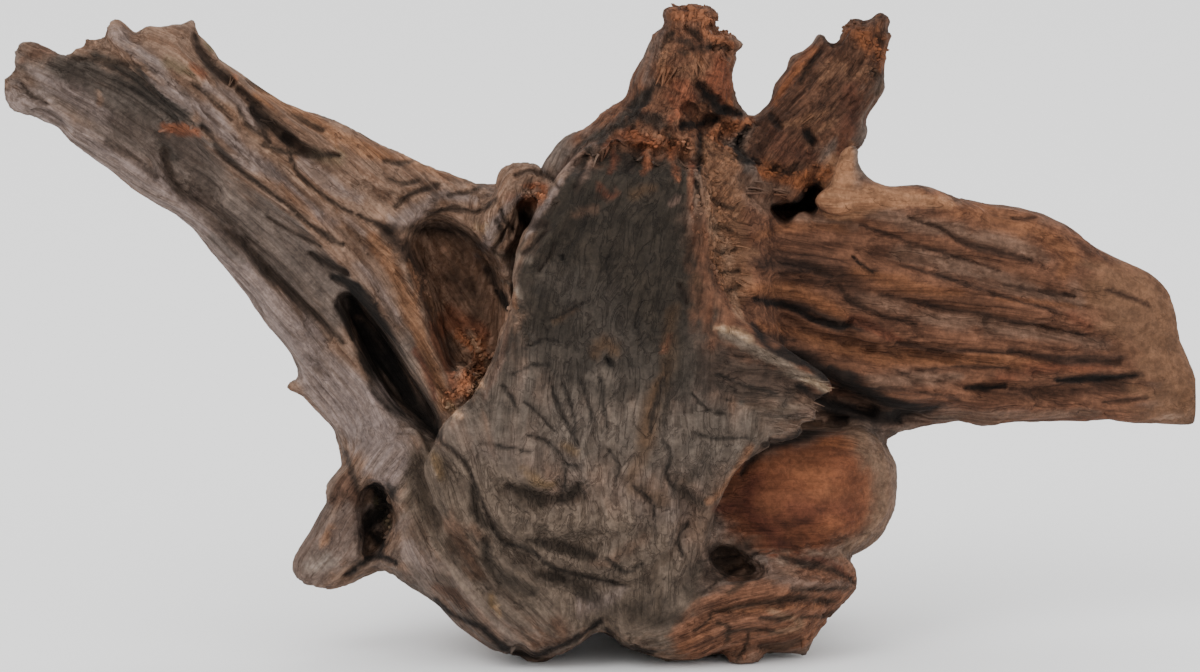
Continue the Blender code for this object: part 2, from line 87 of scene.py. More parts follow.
class Tone(Enum):
    """The wood's colours as the eye sees them: each body, and the fibres through it. Some of them are
    painted shade, and one is a painted highlight.
    """

    ARM_GREY = (124, 108, 98), (92, 78, 69)
    ARM_TAN = (158, 127, 107), (116, 87, 69)
    ARM_OCHRE = (168, 123, 92), (118, 80, 55)
    PINK_GREY = (152, 133, 126), (116, 98, 88)
    # painted shade in the arm's scoop and its hollows
    SCOOP = (98, 87, 79), (70, 61, 54)
    SCOOP_DEEP_SHADE = (62, 55, 48), (44, 38, 33)
    # painted shade in grooves, and near-black painted shade in holes and gaps
    GROOVE = (46, 35, 27), (34, 26, 20)
    SOFT_GROOVE = (76, 60, 48), (54, 42, 33)
    BLACK = (29, 24, 20), (20, 16, 13)
    POCKET = (176, 137, 113), (134, 99, 77)
    POCKET_RED = (166, 106, 78), (120, 75, 54)
    CRUMB = (152, 92, 62), (98, 56, 36)
    CRUMB_PALE = (184, 132, 102), (130, 86, 62)
    CREAM = (200, 170, 138), (158, 124, 92)
    SLAB = (60, 51, 42), (47, 40, 33)
    SLAB_MID = (75, 66, 58), (58, 50, 43)
    SLAB_LOW = (112, 99, 88), (80, 69, 60)
    # painted shade in the slab's cracks
    CRACK = (50, 43, 37), (40, 34, 29)
    SLAB_STAIN = (98, 71, 48), (70, 53, 38)
    SLAB_RIM = (136, 111, 98), (94, 70, 58)
    LOWER = (122, 105, 91), (90, 76, 64)
    # painted shade on the slab's lower edges and folds
    LOWER_SHADE = (64, 54, 45), (48, 40, 32)
    LOWER_WARM = (116, 88, 71), (90, 66, 52)
    LOWER_OCHRE = (132, 104, 72), (100, 78, 52)
    BEIGE = (150, 109, 82), (106, 71, 50)
    BEIGE_PALE = (174, 138, 112), (126, 92, 69)
    SPUR_PALE = (138, 122, 107), (104, 90, 77)
    PEAK = (134, 92, 69), (84, 54, 39)
    PEAK_ORANGE = (164, 106, 74), (110, 65, 42)
    PEAK_RED = (138, 83, 59), (104, 60, 42)
    BRANCH = (108, 74, 55), (70, 46, 34)
    BRANCH_RED = (98, 62, 46), (74, 45, 33)
    BRANCH_ORANGE = (150, 92, 58), (98, 58, 38)
    WEB = (170, 124, 92), (144, 100, 72)
    PLANK = (132, 89, 66), (86, 56, 41)
    PLANK_PINK = (134, 104, 86), (98, 71, 56)
    PLANK_ORANGE = (144, 95, 65), (100, 62, 41)
    PLANK_RED = (118, 68, 48), (84, 48, 34)
    # painted shade in the plank's crevices and beside the torn crest
    PLANK_SHADE = (76, 52, 40), (48, 33, 26)
    PLANK_END = (130, 94, 70), (106, 75, 54)
    SHADOW = (38, 29, 24), (26, 20, 17)
    DOME = (128, 78, 53), (106, 62, 42)
    # a painted highlight on the dome's top, and the dome's red-brown with painted shade on its left and
    # lower side
    DOME_HIGHLIGHT = (156, 98, 66), (130, 77, 51)
    DOME_RED_SHADED = (98, 53, 39), (76, 42, 31)
    RIM = (138, 110, 89), (106, 80, 63)
    HEEL = (152, 105, 80), (104, 69, 51)
    HEEL_PALE = (128, 104, 91), (98, 74, 61)
    STUB = (132, 112, 101), (102, 83, 73)
    STUB_PALE = (158, 142, 130), (126, 108, 97)
    STUB_BROWN = (106, 76, 60), (74, 52, 40)
    MOSS = (100, 94, 64), (70, 63, 42)
    POCKET_CRUMB = (208, 136, 96), (146, 90, 60)
    POCKET_CHIP = (222, 180, 146), (170, 128, 98)
    DOME_SPOT = (66, 36, 25), (54, 29, 20)
    CHIP_GREY = (134, 119, 106), (98, 84, 72)
    # painted shade in hollows
    HOLLOW = (62, 48, 39), (46, 35, 28)

    @property
    def body(self) -> np.ndarray:
        """The wood's own colour, in linear light."""
        return np.array(linear(*self.value[0]))

    @property
    def fibre(self) -> np.ndarray:
        """The colour of the fibres, in linear light."""
        return np.array(linear(*self.value[1]))


@dataclass(frozen=True)
class DrawingPlane:
    """The plane square to the line of sight, in steps of 0.4 mm.

    The origin's shift is what the solid was moved by when it was centred.
    """

    tilt: float = math.radians(10.0)
    step: float = STEP_MM * MM
    centre_u: float = 600.0
    base_v: float = 662.0
    shift: tuple[float, float, float] = (-0.94 * MM, -6.41 * MM, -8.5 * MM)
    eye_distance: float = 4.0
    middle_v: float = 336.0

    @property
    def sight(self) -> np.ndarray:
        """The line of sight, away from the eye."""
        return np.array((0.0, math.cos(self.tilt), -math.sin(self.tilt)))

    @property
    def rise(self) -> np.ndarray:
        """The plane's upward direction."""
        return np.array((0.0, math.sin(self.tilt), math.cos(self.tilt)))

    def flat(self, spots: np.ndarray) -> np.ndarray:
        """Where points fall on the plane.

        Args:
            spots: World points, one a row.

        Returns:
            Their u and v, one pair a row.
        """
        spots = spots - np.array(self.shift)
        depth = spots @ self.sight
        nearness = self.eye_distance / (self.eye_distance + depth)
        u = self.centre_u + spots[:, 0] / self.step * nearness
        up = self.base_v - spots @ self.rise / self.step
        v = self.middle_v + (up - self.middle_v) * nearness
        return np.column_stack([u, v])

    def depth(self, spots: np.ndarray) -> np.ndarray:
        """How far points lie beyond the plane along the line of sight, in mm."""
        return (spots - np.array(self.shift)) @ self.sight / MM


PLANE = DrawingPlane()


def hashed(cells: np.ndarray, seed: int) -> np.ndarray:
    """A fixed random number from 0 to 1 for each whole-numbered cell."""
    mixed = cells[..., 0] * 73856093 ^ cells[..., 1] * 19349663
    mixed = mixed ^ cells[..., 2] * 83492791 ^ (seed + 1) * 2654435761
    mixed = (mixed ^ (mixed >> 13)) * 1274126177 & 0x7FFFFFFF
    return ((mixed ^ (mixed >> 16)) & 0xFFFF) / 65535.0


def ripple(spots: np.ndarray, seed: int = 0, octaves: int = 3) -> np.ndarray:
    """Smooth noise about zero, from about -1 to 1.

    Args:
        spots: Points, one a row, already divided by the noise's size.
        seed: Which noise.
        octaves: How many sizes are added, each half the last.

    Returns:
        One value for each point.
    """
    total = np.zeros(len(spots))
    strength = 1.0
    for octave in range(octaves):
        floor = np.floor(spots).astype(np.int64)
        part = eased(spots - floor)
        value = np.zeros(len(spots))
        for corner in np.ndindex(2, 2, 2):
            share = np.prod(np.where(corner, part, 1 - part), axis=1)
            value += share * hashed(floor + corner, seed + octave)
        total += strength * (2 * value - 1)
        strength *= 0.5
        spots = spots * 2.03 + 17.1
    return total


def ripples(spots: np.ndarray, size: float, *seeds: int) -> np.ndarray:
    """A column of smooth noise of this size in metres for each seed."""
    return np.column_stack([ripple(spots / size, seed) for seed in seeds])


def eased(value: np.ndarray) -> np.ndarray:
    """The value, held between 0 and 1 and eased at both ends."""
    value = np.clip(value, 0, 1)
    return value * value * (3 - 2 * value)


def smooth_line(points: np.ndarray, steps: int = 6) -> np.ndarray:
    """Rows along a Catmull-Rom spline through the given rows."""
    points = np.asarray(points, float)
    ends = np.vstack([2 * points[0] - points[1], points, 2 * points[-1] - points[-2]])
    made = []
    for a, b, c, d in zip(ends, ends[1:], ends[2:], ends[3:]):
        for t in np.linspace(0.0, 1.0, steps, endpoint=False):
            made.append(
                b
                + 0.5 * t * (c - a)
                + t * t * (a - 2.5 * b + 2 * c - 0.5 * d)
                + 0.5 * t**3 * (3 * b - a - 3 * c + d)
            )
    made.append(points[-1])
    return np.array(made)


@dataclass(frozen=True)
class Stroke:
    """A line of changing width on the drawing plane, for a range of depths.

    Each point is u, v and a half-width. Depths are in mm beyond the plane.
    """

    points: tuple[Point, ...]
    near: float = NEAREST
    far: float = FARTHEST
    fade: float = 4.0

    @property
    def reach(self) -> float:
        """The widest half-width."""
        return max(point[2] for point in self.points)

    def share(
        self,
        flat: np.ndarray,
        depth: np.ndarray,
        softness: float,
        fray: np.ndarray | None = None,
    ) -> np.ndarray:
        """How much of the stroke acts at each point, from 0 to 1.

        Args:
            flat: The points' u and v.
            depth: The points' depths.
            softness: The share of the half-width over which the stroke fades out.
            fray: How far each point's edge is pushed in or out, as a share of the
                half-width, or None for a clean edge.

        Returns:
            One share for each point.
        """
        shares = np.zeros(len(flat))
        line = smooth_line(self.points, 4)
        margin = self.reach * (1.0 if fray is None else 1.5)
        low, high = line[:, :2].min(0) - margin, line[:, :2].max(0) + margin
        inside = ((flat > low) & (flat < high)).all(1)
        level = (depth > self.near - self.fade) & (depth < self.far + self.fade)
        near = np.where(inside & level)[0]
        if not len(near):
            return shares
        spots = flat[near]
        least = np.full(len(near), 9.0)
        for start, end in zip(line, line[1:]):
            run = end[:2] - start[:2]
            along = np.clip((spots - start[:2]) @ run / max(run @ run, 1e-9), 0, 1)
            away = np.linalg.norm(spots - start[:2] - along[:, None] * run, axis=1)
            width = start[2] + along * (end[2] - start[2])
            least = np.minimum(least, away / np.maximum(width, 0.3))
        edge = 1 - least
        if fray is not None:
            edge = edge + fray[near]
        held = eased((depth[near] - self.near) / self.fade + 0.5)
        held = held * eased((self.far - depth[near]) / self.fade + 0.5)
        shares[near] = eased(edge / softness) * held
        return shares


@dataclass(frozen=True)
class Cut:
    """A stroke that pushes the skin in by a depth in mm, or out where it is below 0."""

    depth: float
    softness: float
    stroke: Stroke


@dataclass(frozen=True)
class Patch:
    """A stroke that paints the skin with a tone, as strongly as its strength."""

    tone: Tone
    strength: float
    softness: float
    stroke: Stroke


@dataclass(frozen=True)
class Groove:
    """A groove: it is cut into the skin and painted along its bottom, mostly with painted shade."""

    depth: float
    tone: Tone
    stroke: Stroke

    @property
    def cut(self) -> Cut:
        """The groove as a cut."""
        return Cut(self.depth, 0.9, self.stroke)

    @property
    def patch(self) -> Patch:
        """The groove's paint, mostly painted shade, as a patch, strongest where it is a hole."""
        strength = 0.95 if self.tone in (Tone.BLACK, Tone.SHADOW) else 0.8
        return Patch(self.tone, strength, 0.75, self.stroke)


@dataclass(frozen=True)
class Pull:
    """A pull: everything near a spot of the drawing plane moves across it.

    The spot, the radius and the move are in u and v. Depths are in mm.
    """

    spot: tuple[float, float]
    radius: float
    move: tuple[float, float]
    near: float = NEAREST
    far: float = FARTHEST

    def shifts(self, flat: np.ndarray, depth: np.ndarray) -> np.ndarray:
        """How far each point moves to the right and down, in steps of the plane."""
        away = np.linalg.norm(flat - np.array(self.spot), axis=1) / self.radius
        share = eased(1 - away) * ((depth > self.near) & (depth < self.far))
        return np.outer(share, self.move)


def stroke(*points: Point, near: float = NEAREST, far: float = FARTHEST) -> Stroke:
    """A stroke along these points, for this range of depths."""
    return Stroke(points, near, far)


def cut(depth: float, softness: float, *points: Point, **depths: float) -> Cut:
    """A cut along these points, for this range of depths."""
    return Cut(depth, softness, stroke(*points, **depths))


def patch(tone: Tone, strength: float, softness: float, *points: Point, **depths: float) -> Patch:
    """A patch along these points, for this range of depths."""
    return Patch(tone, strength, softness, stroke(*points, **depths))


def groove(depth: float, tone: Tone, *points: Point, **depths: float) -> Groove:
    """A groove along these points, for this range of depths."""
    return Groove(depth, tone, stroke(*points, **depths))


def mark(strength: float, *points: Point, **depths: float) -> tuple[float, Stroke]:
    """How strongly a quality of the wood holds along these points."""
    return strength, stroke(*points, **depths)


@dataclass(frozen=True)
class Flow:
    """A limb's line of growth, which its grain follows: u, v and half-width."""

    points: tuple[Point, ...]

    def coordinates(self, flat: np.ndarray) -> tuple[np.ndarray, np.ndarray]:
        """How points lie along the line.

        Args:
            flat: The points' u and v.

        Returns:
            The way along and to the side in mm, one pair a row, and how far off the
            line each point is as a share of the half-width.
        """
        line = smooth_line(self.points, 8)
        runs = np.diff(line[:, :2], axis=0)
        lengths = np.linalg.norm(runs, axis=1)
        starts = np.concatenate([[0.0], np.cumsum(lengths)[:-1]])
        best = np.full(len(flat), 1e9)
        made = np.zeros((len(flat), 2))
        for index, (start, end) in enumerate(zip(line, line[1:])):
            run, length = runs[index], lengths[index]
            way = flat - start[:2]
            share = way @ run / length**2
            first, last = index == 0, index == len(runs) - 1
            held = np.clip(share, -9.0 if first else 0.0, 9.0 if last else 1.0)
            away = way - np.clip(share, 0, 1)[:, None] * run
            side = (run[0] * way[:, 1] - run[1] * way[:, 0]) / length
            width = start[2] + np.clip(share, 0, 1) * (end[2] - start[2])
            far = np.linalg.norm(away, axis=1) / width
            closer = far < best
            best[closer] = far[closer]
            made[closer, 0] = (starts[index] + held[closer] * length) * STEP_MM
            spread = 0.5 + 0.5 * USUAL_WIDTH / width[closer]
            made[closer, 1] = side[closer] * spread * STEP_MM
        return made, best


def flow(*points: Point) -> Flow:
    """A limb's line of growth through these points."""
    return Flow(points)


FIRST_FLOWS = (
    flow(
        (20, 65, 40), (110, 110, 75), (220, 190, 85), (320, 285, 90), (400, 380, 80), (440, 460, 60),
        (480, 560, 50), (560, 640, 40),
    ),
    flow((700, 285, 110), (860, 300, 115), (1000, 312, 112), (1120, 335, 90), (1210, 350, 60)),
    flow((750, 190, 50), (790, 130, 45), (850, 60, 38), (872, 5, 25)),
    flow((700, 485, 70), (800, 488, 65), (900, 490, 50)),
    flow((640, 645, 40), (720, 612, 50), (800, 590, 45), (860, 560, 35)),
)
SECOND_FLOWS = (
    flow(
        (688, -10, 30), (690, 60, 45), (665, 130, 60), (625, 220, 85), (600, 320, 100), (590, 420, 120),
        (590, 520, 110), (592, 600, 90), (595, 670, 60),
    ),
    flow((390, 470, 45), (345, 530, 40), (300, 590, 28)),
)

SLAB_FAR = -67.0
COLUMN_FAR = -49.0

PULLS = (
    # the peak's broken top
    Pull((722, 17), 18, (-10, 9)),
    Pull((731, 41), 9, (9, -1)),
    Pull((729, 50), 8, (-6, 0)),
    Pull((738, 72), 24, (-6, 0)),
    Pull((742, 92), 20, (-6, 0)),
    Pull((706, 13), 8, (5, 2)),
    Pull((706, 22), 6, (-5, 2)),
    Pull((658, 20), 15, (8, 0)),
    Pull((620, 94), 26, (7, 4)),
    Pull((584, 118), 40, (3, 8)),
    # the branch's broken top
    Pull((834, 27), 17, (2, 16)),
    Pull((818, 36), 9, (0, -5)),
    Pull((797, 58), 16, (-5, -2)),
    Pull((868, 16), 14, (0, 4)),
    Pull((882, 18), 7, (0, -5)),
    Pull((890, 22), 9, (-4, 5)),
    Pull((878, 92), 36, (8, 0)),
    Pull((862, 136), 28, (8, 2)),
    # the arm's end and edges
    Pull((10, 85), 34, (-8, 0)),
    Pull((24, 50), 26, (-10, -4)),
    Pull((36, 124), 38, (3, -12)),
    Pull((72, 57), 18, (0, -9)),
    Pull((112, 28), 16, (-5, -10)),
    Pull((142, 34), 18, (0, -7)),
    Pull((184, 25), 11, (2, -8)),
    Pull((372, 128), 44, (0, 6)),
    # the stub and the lower edge
    Pull((294, 385), 11, (-11, 0)),
    Pull((334, 486), 26, (-9, 0)),
    Pull((304, 568), 36, (-9, 3)),
    Pull((516, 656), 16, (0, -7)),
    # the plank
    Pull((925, 190), 42, (0, -6)),
    Pull((1100, 243), 44, (-3, 5)),
    Pull((1186, 385), 60, (7, 2)),
    Pull((985, 422), 32, (0, 6)),
    # the gap behind the web and the nub beside it
    Pull((792, 186), 17, (3, 10), far=-20.0),
    Pull((776, 208), 10, (-6, -3), far=-20.0),
    Pull((802, 224), 18, (0, -12), far=-20.0),
    Pull((830, 198), 18, (-12, 0), far=-44.0),
    # the slab's ragged top edge and corner
    Pull((690, 152), 16, (-7, 8), far=-60.0),
    Pull((602, 160), 20, (-8, -4), far=-60.0),
    Pull((590, 140), 14, (2, 9), far=-60.0),
    Pull((614, 146), 12, (-2, -9), far=-60.0),
    Pull((634, 146), 11, (2, 9), far=-60.0),
    Pull((656, 150), 12, (-3, 8), far=-60.0),
    Pull((678, 146), 10, (3, -7), far=-60.0),
    # the spur's three tips
    Pull((828, 389), 10, (3, 1), far=-66.0),
    Pull((820, 402), 8, (-9, 0), far=-66.0),
    Pull((808, 414), 9, (5, 2), far=-66.0),
    Pull((806, 424), 8, (-9, -2), far=-66.0),
    Pull((790, 430), 9, (6, 3), far=-66.0),
    Pull((774, 440), 8, (-8, -4), far=-66.0),
)

# Each groove is cut in and painted along its bottom: its near-black and brown tones are painted shade in
# grooves, cracks, holes and gaps, and its red one is the plank's own colour.
GROOVES = (
    # the arm's rim groove, with a splinter left across it
    groove(3.0, Tone.GROOVE, (188, 30, 4), (196, 50, 9), (214, 68, 11), (226, 79, 8)),
    groove(2.6, Tone.GROOVE, (233, 86, 6), (250, 102, 9), (264, 118, 11), (286, 134, 10)),
    groove(2.4, Tone.GROOVE, (280, 134, 8), (304, 146, 10), (334, 153, 3)),
    groove(1.6, Tone.GROOVE, (246, 104, 5), (256, 124, 6), (264, 138, 4)),
    groove(1.6, Tone.GROOVE, (242, 76, 3), (254, 84, 5), (264, 90, 2)),
    # the arm's long cracks
    groove(
        1.8, Tone.GROOVE, (196, 122, 4), (225, 158, 5), (262, 187, 5), (284, 204, 4), (304, 222, 5),
        (338, 242, 4),
    ),
    groove(1.4, Tone.GROOVE, (284, 150, 3), (292, 170, 3), (308, 184, 3), (326, 198, 4), (348, 211, 3)),
    groove(1.6, Tone.GROOVE, (354, 213, 4), (370, 221, 5), (386, 229, 5)),
    groove(1.2, Tone.SOFT_GROOVE, (100, 138, 5), (128, 156, 7), (150, 174, 6)),
    groove(
        1.8, Tone.SOFT_GROOVE, (158, 150, 7), (170, 184, 9), (192, 206, 9), (216, 226, 8), (242, 248, 10),
        (262, 270, 8),
    ),
    groove(1.4, Tone.SOFT_GROOVE, (262, 270, 8), (298, 302, 9), (326, 326, 9), (338, 340, 6)),
    groove(2.6, Tone.GROOVE, (305, 250, 4), (322, 260, 7), (342, 271, 4)),
    groove(1.0, Tone.SOFT_GROOVE, (64, 54, 3), (100, 56, 4), (135, 62, 5), (150, 68, 3)),
    groove(1.2, Tone.SOFT_GROOVE, (186, 78, 3), (202, 92, 4), (226, 116, 3)),
    groove(1.2, Tone.SOFT_GROOVE, (233, 103, 3), (240, 118, 4), (254, 131, 3)),
    groove(1.0, Tone.SOFT_GROOVE, (256, 140, 3), (275, 147, 5), (290, 149, 3)),
    groove(1.0, Tone.SOFT_GROOVE, (14, 82, 4), (24, 92, 5), (40, 100, 3)),
    groove(1.2, Tone.SOFT_GROOVE, (284, 110, 3), (300, 118, 5), (318, 126, 3)),
    groove(1.0, Tone.SOFT_GROOVE, (262, 214, 3), (285, 228, 3), (316, 244, 3)),
    # folds towards the ring knot
    groove(1.6, Tone.GROOVE, (390, 204, 4), (406, 191, 4), (434, 182, 5)),
    groove(1.2, Tone.SOFT_GROOVE, (380, 157, 3), (394, 160, 4), (408, 157, 3)),
    groove(1.2, Tone.SOFT_GROOVE, (384, 176, 3), (398, 180, 4), (414, 177, 3)),
    groove(1.4, Tone.GROOVE, (424, 212, 4), (446, 206, 4), (474, 208, 4), (492, 196, 4)),
    groove(1.4, Tone.SOFT_GROOVE, (446, 192, 4), (468, 188, 4), (486, 178, 4)),
    groove(1.6, Tone.GROOVE, (494, 216, 4), (500, 232, 5), (490, 248, 5)),
    groove(2.0, Tone.HOLLOW, (518, 216, 7), (530, 221, 9), (543, 222, 6)),
    groove(2.0, Tone.GROOVE, (498, 206, 3), (502, 218, 4), (510, 226, 3)),
    groove(1.6, Tone.HOLLOW, (512, 172, 3), (526, 167, 4), (544, 172, 5), (556, 184, 4)),
    groove(1.4, Tone.HOLLOW, (520, 250, 4), (532, 240, 4), (546, 226, 3)),
    groove(1.4, Tone.GROOVE, (552, 240, 3), (546, 254, 3), (536, 268, 3), far=SLAB_FAR),
    groove(2.4, Tone.BLACK, (494, 288, 5), (500, 297, 7), (504, 306, 4)),
    # the long gap below the arm, painted black as shade
    groove(
        1.0, Tone.BLACK, (327, 275, 5), (344, 284, 9), (362, 300, 11), (374, 322, 14), (386, 352, 15),
        (400, 384, 15), (418, 412, 14), (432, 434, 8),
    ),
    groove(1.6, Tone.GROOVE, (330, 302, 3), (342, 318, 6), (348, 336, 4)),
    groove(1.2, Tone.GROOVE, (356, 350, 4), (364, 372, 6), (370, 392, 6), (384, 408, 4)),
    # the slab's fan of cracks
    groove(0.6, Tone.CRACK, (500, 384, 3), (508, 396, 4), (514, 410, 3)),
    groove(0.5, Tone.CRACK, (520, 400, 3), (536, 413, 3.5), (550, 428, 2.5)),
    groove(0.6, Tone.CRACK, (545, 376, 3), (553, 398, 4), (566, 424, 3.5), (574, 442, 2.5)),
    groove(0.5, Tone.CRACK, (560, 382, 3), (570, 408, 3.5), (574, 440, 2.5)),
    groove(0.5, Tone.CRACK, (576, 374, 2.5), (584, 396, 3), (590, 420, 2.5)),
    groove(0.6, Tone.CRACK, (598, 376, 3), (601, 402, 4), (605, 426, 3)),
    groove(0.6, Tone.CRACK, (524, 434, 3), (542, 439, 4), (556, 452, 4), (564, 463, 3), (578, 466, 3)),
    groove(0.5, Tone.CRACK, (478, 444, 2.5), (502, 446, 3), (530, 452, 2.5)),
    groove(0.5, Tone.CRACK, (560, 464, 3), (562, 482, 3.5), (557, 500, 3)),
    groove(0.7, Tone.CRACK, (660, 378, 3), (656, 396, 5), (650, 414, 5), (648, 430, 3)),
    groove(0.5, Tone.CRACK, (662, 440, 3), (668, 454, 4), (664, 474, 4), (672, 488, 3)),
    groove(0.5, Tone.CRACK, (632, 486, 4), (648, 500, 4), (652, 516, 3)),
    groove(2.2, Tone.BLACK, (605, 357, 4.5), (609, 362, 4.5), far=SLAB_FAR),
    groove(1.4, Tone.BLACK, (558, 252, 3.0), (560, 256, 3.0), far=SLAB_FAR),
    # finer wrinkles of the slab
    *(
        groove(0.6, Tone.CRACK, *points, far=SLAB_FAR)
        for points in (
            ((584, 214, 2.5), (578, 232, 3), (566, 244, 2.5)),
            ((540, 318, 2.5), (560, 312, 3), (580, 300, 2.5)),
            ((520, 346, 2.5), (540, 338, 3), (556, 340, 2.5)),
            ((510, 372, 2.5), (528, 364, 3), (548, 362, 2.5)),
            ((610, 244, 2.5), (604, 262, 3), (608, 280, 2.5)),
            ((640, 300, 2.5), (634, 322, 3), (640, 342, 2.5)),
            ((690, 392, 2.5), (706, 408, 3), (728, 414, 2.5)),
            ((716, 372, 2.5), (744, 384, 3), (776, 392, 2.5)),
            ((724, 398, 2.5), (752, 402, 3), (786, 404, 2.5)),
            ((692, 432, 2.5), (718, 438, 3), (744, 436, 2.5)),
            ((606, 448, 2.5), (616, 464, 3), (612, 484, 2.5)),
            ((688, 520, 2.5), (676, 538, 3), (682, 556, 2.5)),
        )
    ),
    # the slab's edges and folds
    groove(
        1.4, Tone.GROOVE, (436, 440, 3), (452, 452, 4), (464, 468, 4), (472, 486, 4), (480, 506, 4),
        (490, 528, 3.5),
    ),
    groove(
        1.2, Tone.CRACK, (490, 528, 4), (500, 542, 4), (524, 548, 4), (546, 565, 4), (570, 574, 4),
        (606, 582, 4), (622, 586, 3),
    ),
    groove(1.2, Tone.LOWER_SHADE, (504, 486, 6), (530, 497, 11), (562, 497, 9), (576, 484, 6)),
    groove(1.4, Tone.LOWER_SHADE, (524, 540, 6), (556, 546, 10), (590, 556, 8)),
    groove(1.2, Tone.LOWER_SHADE, (536, 574, 7), (566, 582, 11), (592, 600, 10)),
    groove(1.4, Tone.LOWER_SHADE, (482, 540, 8), (486, 566, 11), (512, 584, 12), (530, 590, 8)),
    groove(0.9, Tone.LOWER_SHADE, (470, 488, 8), (472, 510, 9), (482, 526, 7)),
    groove(0.9, Tone.CRACK, (604, 558, 3), (622, 572, 4), (640, 564, 3)),
    groove(1.0, Tone.CRACK, (564, 178, 4), (574, 164, 5), (584, 150, 4), far=-60.0),
    groove(1.0, Tone.GROOVE, (586, 148, 4), (580, 166, 5), (572, 186, 3), far=-60.0),
    groove(1.0, Tone.GROOVE, (624, 168, 5), (630, 160, 5), far=-60.0),
    # the torn crest
    groove(2.6, Tone.BLACK, (698, 130, 5), (698, 150, 6), (697, 166, 4)),
    groove(1.6, Tone.GROOVE, (694, 178, 3), (698, 190, 4), (700, 202, 2)),
    groove(1.6, Tone.GROOVE, (678, 282, 5), (682, 292, 7), (684, 300, 4)),
    *(
        groove(1.0, Tone.SOFT_GROOVE, *points, near=-71.0, far=COLUMN_FAR)
        for points in (
            ((708, 226, 3), (722, 224, 3.5), (732, 230, 3)),
            ((704, 246, 3), (720, 250, 3.5), (734, 246, 3)),
            ((706, 266, 3), (722, 270, 3.5), (738, 268, 3)),
            ((708, 284, 3), (724, 288, 3.5), (738, 284, 3)),
            ((702, 306, 3), (718, 312, 3.5), (732, 308, 3)),
            ((710, 196, 3), (724, 204, 3.5), (736, 206, 3)),
        )
    ),
    # the peak's holes
    groove(3.0, Tone.BLACK, (697, 80, 6), (708, 92, 9), (724, 104, 7), (740, 111, 4)),
    groove(3.4, Tone.BLACK, (680, 122, 7), (698, 120, 9), (712, 114, 6)),
    groove(2.6, Tone.SCOOP_DEEP_SHADE, (646, 92, 9), (636, 112, 13), (654, 118, 12)),
    groove(2.2, Tone.GROOVE, (708, 42, 5), (720, 42, 6), (728, 44, 3)),
    groove(1.8, Tone.GROOVE, (684, 24, 5), (694, 30, 6), (698, 36, 3)),
    groove(1.4, Tone.SOFT_GROOVE, (660, 44, 4), (664, 34, 5), (670, 28, 3)),
    groove(1.2, Tone.SOFT_GROOVE, (684, 50, 4), (678, 48, 4), (670, 56, 3)),
    groove(3.0, Tone.BLACK, (746, 124, 5), (736, 140, 9), (740, 154, 9), (756, 160, 6)),
    groove(1.4, Tone.SOFT_GROOVE, (664, 122, 4), (668, 134, 4), (672, 142, 3)),
    # the branch
    groove(1.8, Tone.GROOVE, (800, 78, 3), (808, 62, 5), (820, 46, 4)),
    groove(2.2, Tone.BLACK, (806, 128, 6), (812, 140, 7)),
    groove(1.4, Tone.GROOVE, (770, 112, 5), (778, 124, 6)),
    groove(1.4, Tone.GROOVE, (774, 164, 5), (788, 168, 7), (798, 160, 4)),
    groove(1.4, Tone.SOFT_GROOVE, (872, 66, 5), (880, 76, 6), (876, 90, 3)),
    groove(1.2, Tone.GROOVE, (876, 30, 4), (882, 38, 5)),
    # the gap behind the web
    groove(1.0, Tone.BLACK, (768, 204, 2), (788, 204, 6), (814, 203, 8), near=-48.0),
    groove(1.0, Tone.BLACK, (794, 200, 4), (808, 192, 8), (817, 180, 4), near=-48.0),
    # the plank's crevices
    groove(
        1.6, Tone.PLANK_SHADE, (908, 214, 3), (940, 226, 4), (962, 238, 6), (996, 248, 7), (1032, 258, 4),
    ),
    groove(1.2, Tone.PLANK_SHADE, (1004, 282, 3), (1040, 289, 4.5), (1076, 294, 4)),
    groove(1.6, Tone.BLACK, (852, 254, 3), (861, 263, 4), (873, 270, 3)),
    groove(1.4, Tone.PLANK_SHADE, (838, 282, 4), (852, 300, 5), (880, 312, 4), (916, 322, 3)),
    groove(
        2.4, Tone.SHADOW, (752, 297, 5), (784, 303, 6), (812, 316, 7), (838, 326, 6), (850, 322, 4),
        far=-30.0,
    ),
    groove(1.2, Tone.PLANK_RED, (850, 318, 7), (872, 326, 8), (900, 338, 5)),
    groove(1.4, Tone.PLANK_SHADE, (896, 341, 3), (936, 347, 4.5), (984, 350, 4), (1030, 352, 3)),
    groove(1.4, Tone.PLANK_SHADE, (1010, 348, 4), (1050, 356, 7), (1090, 360, 8), (1122, 360, 5)),
    groove(2.2, Tone.BLACK, (966, 386, 3), (984, 386, 5.5), (1006, 384, 4)),
    groove(1.8, Tone.SHADOW, (1058, 378, 4), (1090, 377, 5), (1136, 374, 4)),
    groove(1.0, Tone.PLANK_SHADE, (1104, 400, 3), (1126, 399, 4), (1148, 397, 3)),
    groove(1.2, Tone.PLANK_SHADE, (760, 332, 5), (776, 336, 7), (794, 338, 4), far=-30.0),
    groove(1.0, Tone.PLANK_SHADE, (1012, 215, 3), (1026, 216, 4), (1036, 215, 3)),
    groove(0.9, Tone.PLANK_SHADE, (1108, 288, 3), (1128, 293, 4.5), (1150, 302, 3.5)),
    groove(1.0, Tone.PLANK_SHADE, (760, 262, 6), (800, 262, 7), (830, 272, 6)),
    *(
        groove(0.8, Tone.PLANK_SHADE, *points)
        for points in (
            ((860, 222, 3), (900, 236, 3.5), (950, 252, 3), (1000, 268, 3)),
            ((900, 262, 3), (950, 276, 3.5), (1010, 296, 3), (1060, 310, 3)),
            ((880, 292, 3), (950, 306, 3.5), (1030, 322, 3), (1090, 334, 3)),
            ((900, 372, 3), (950, 366, 3.5), (1010, 366, 3)),
        )
    ),
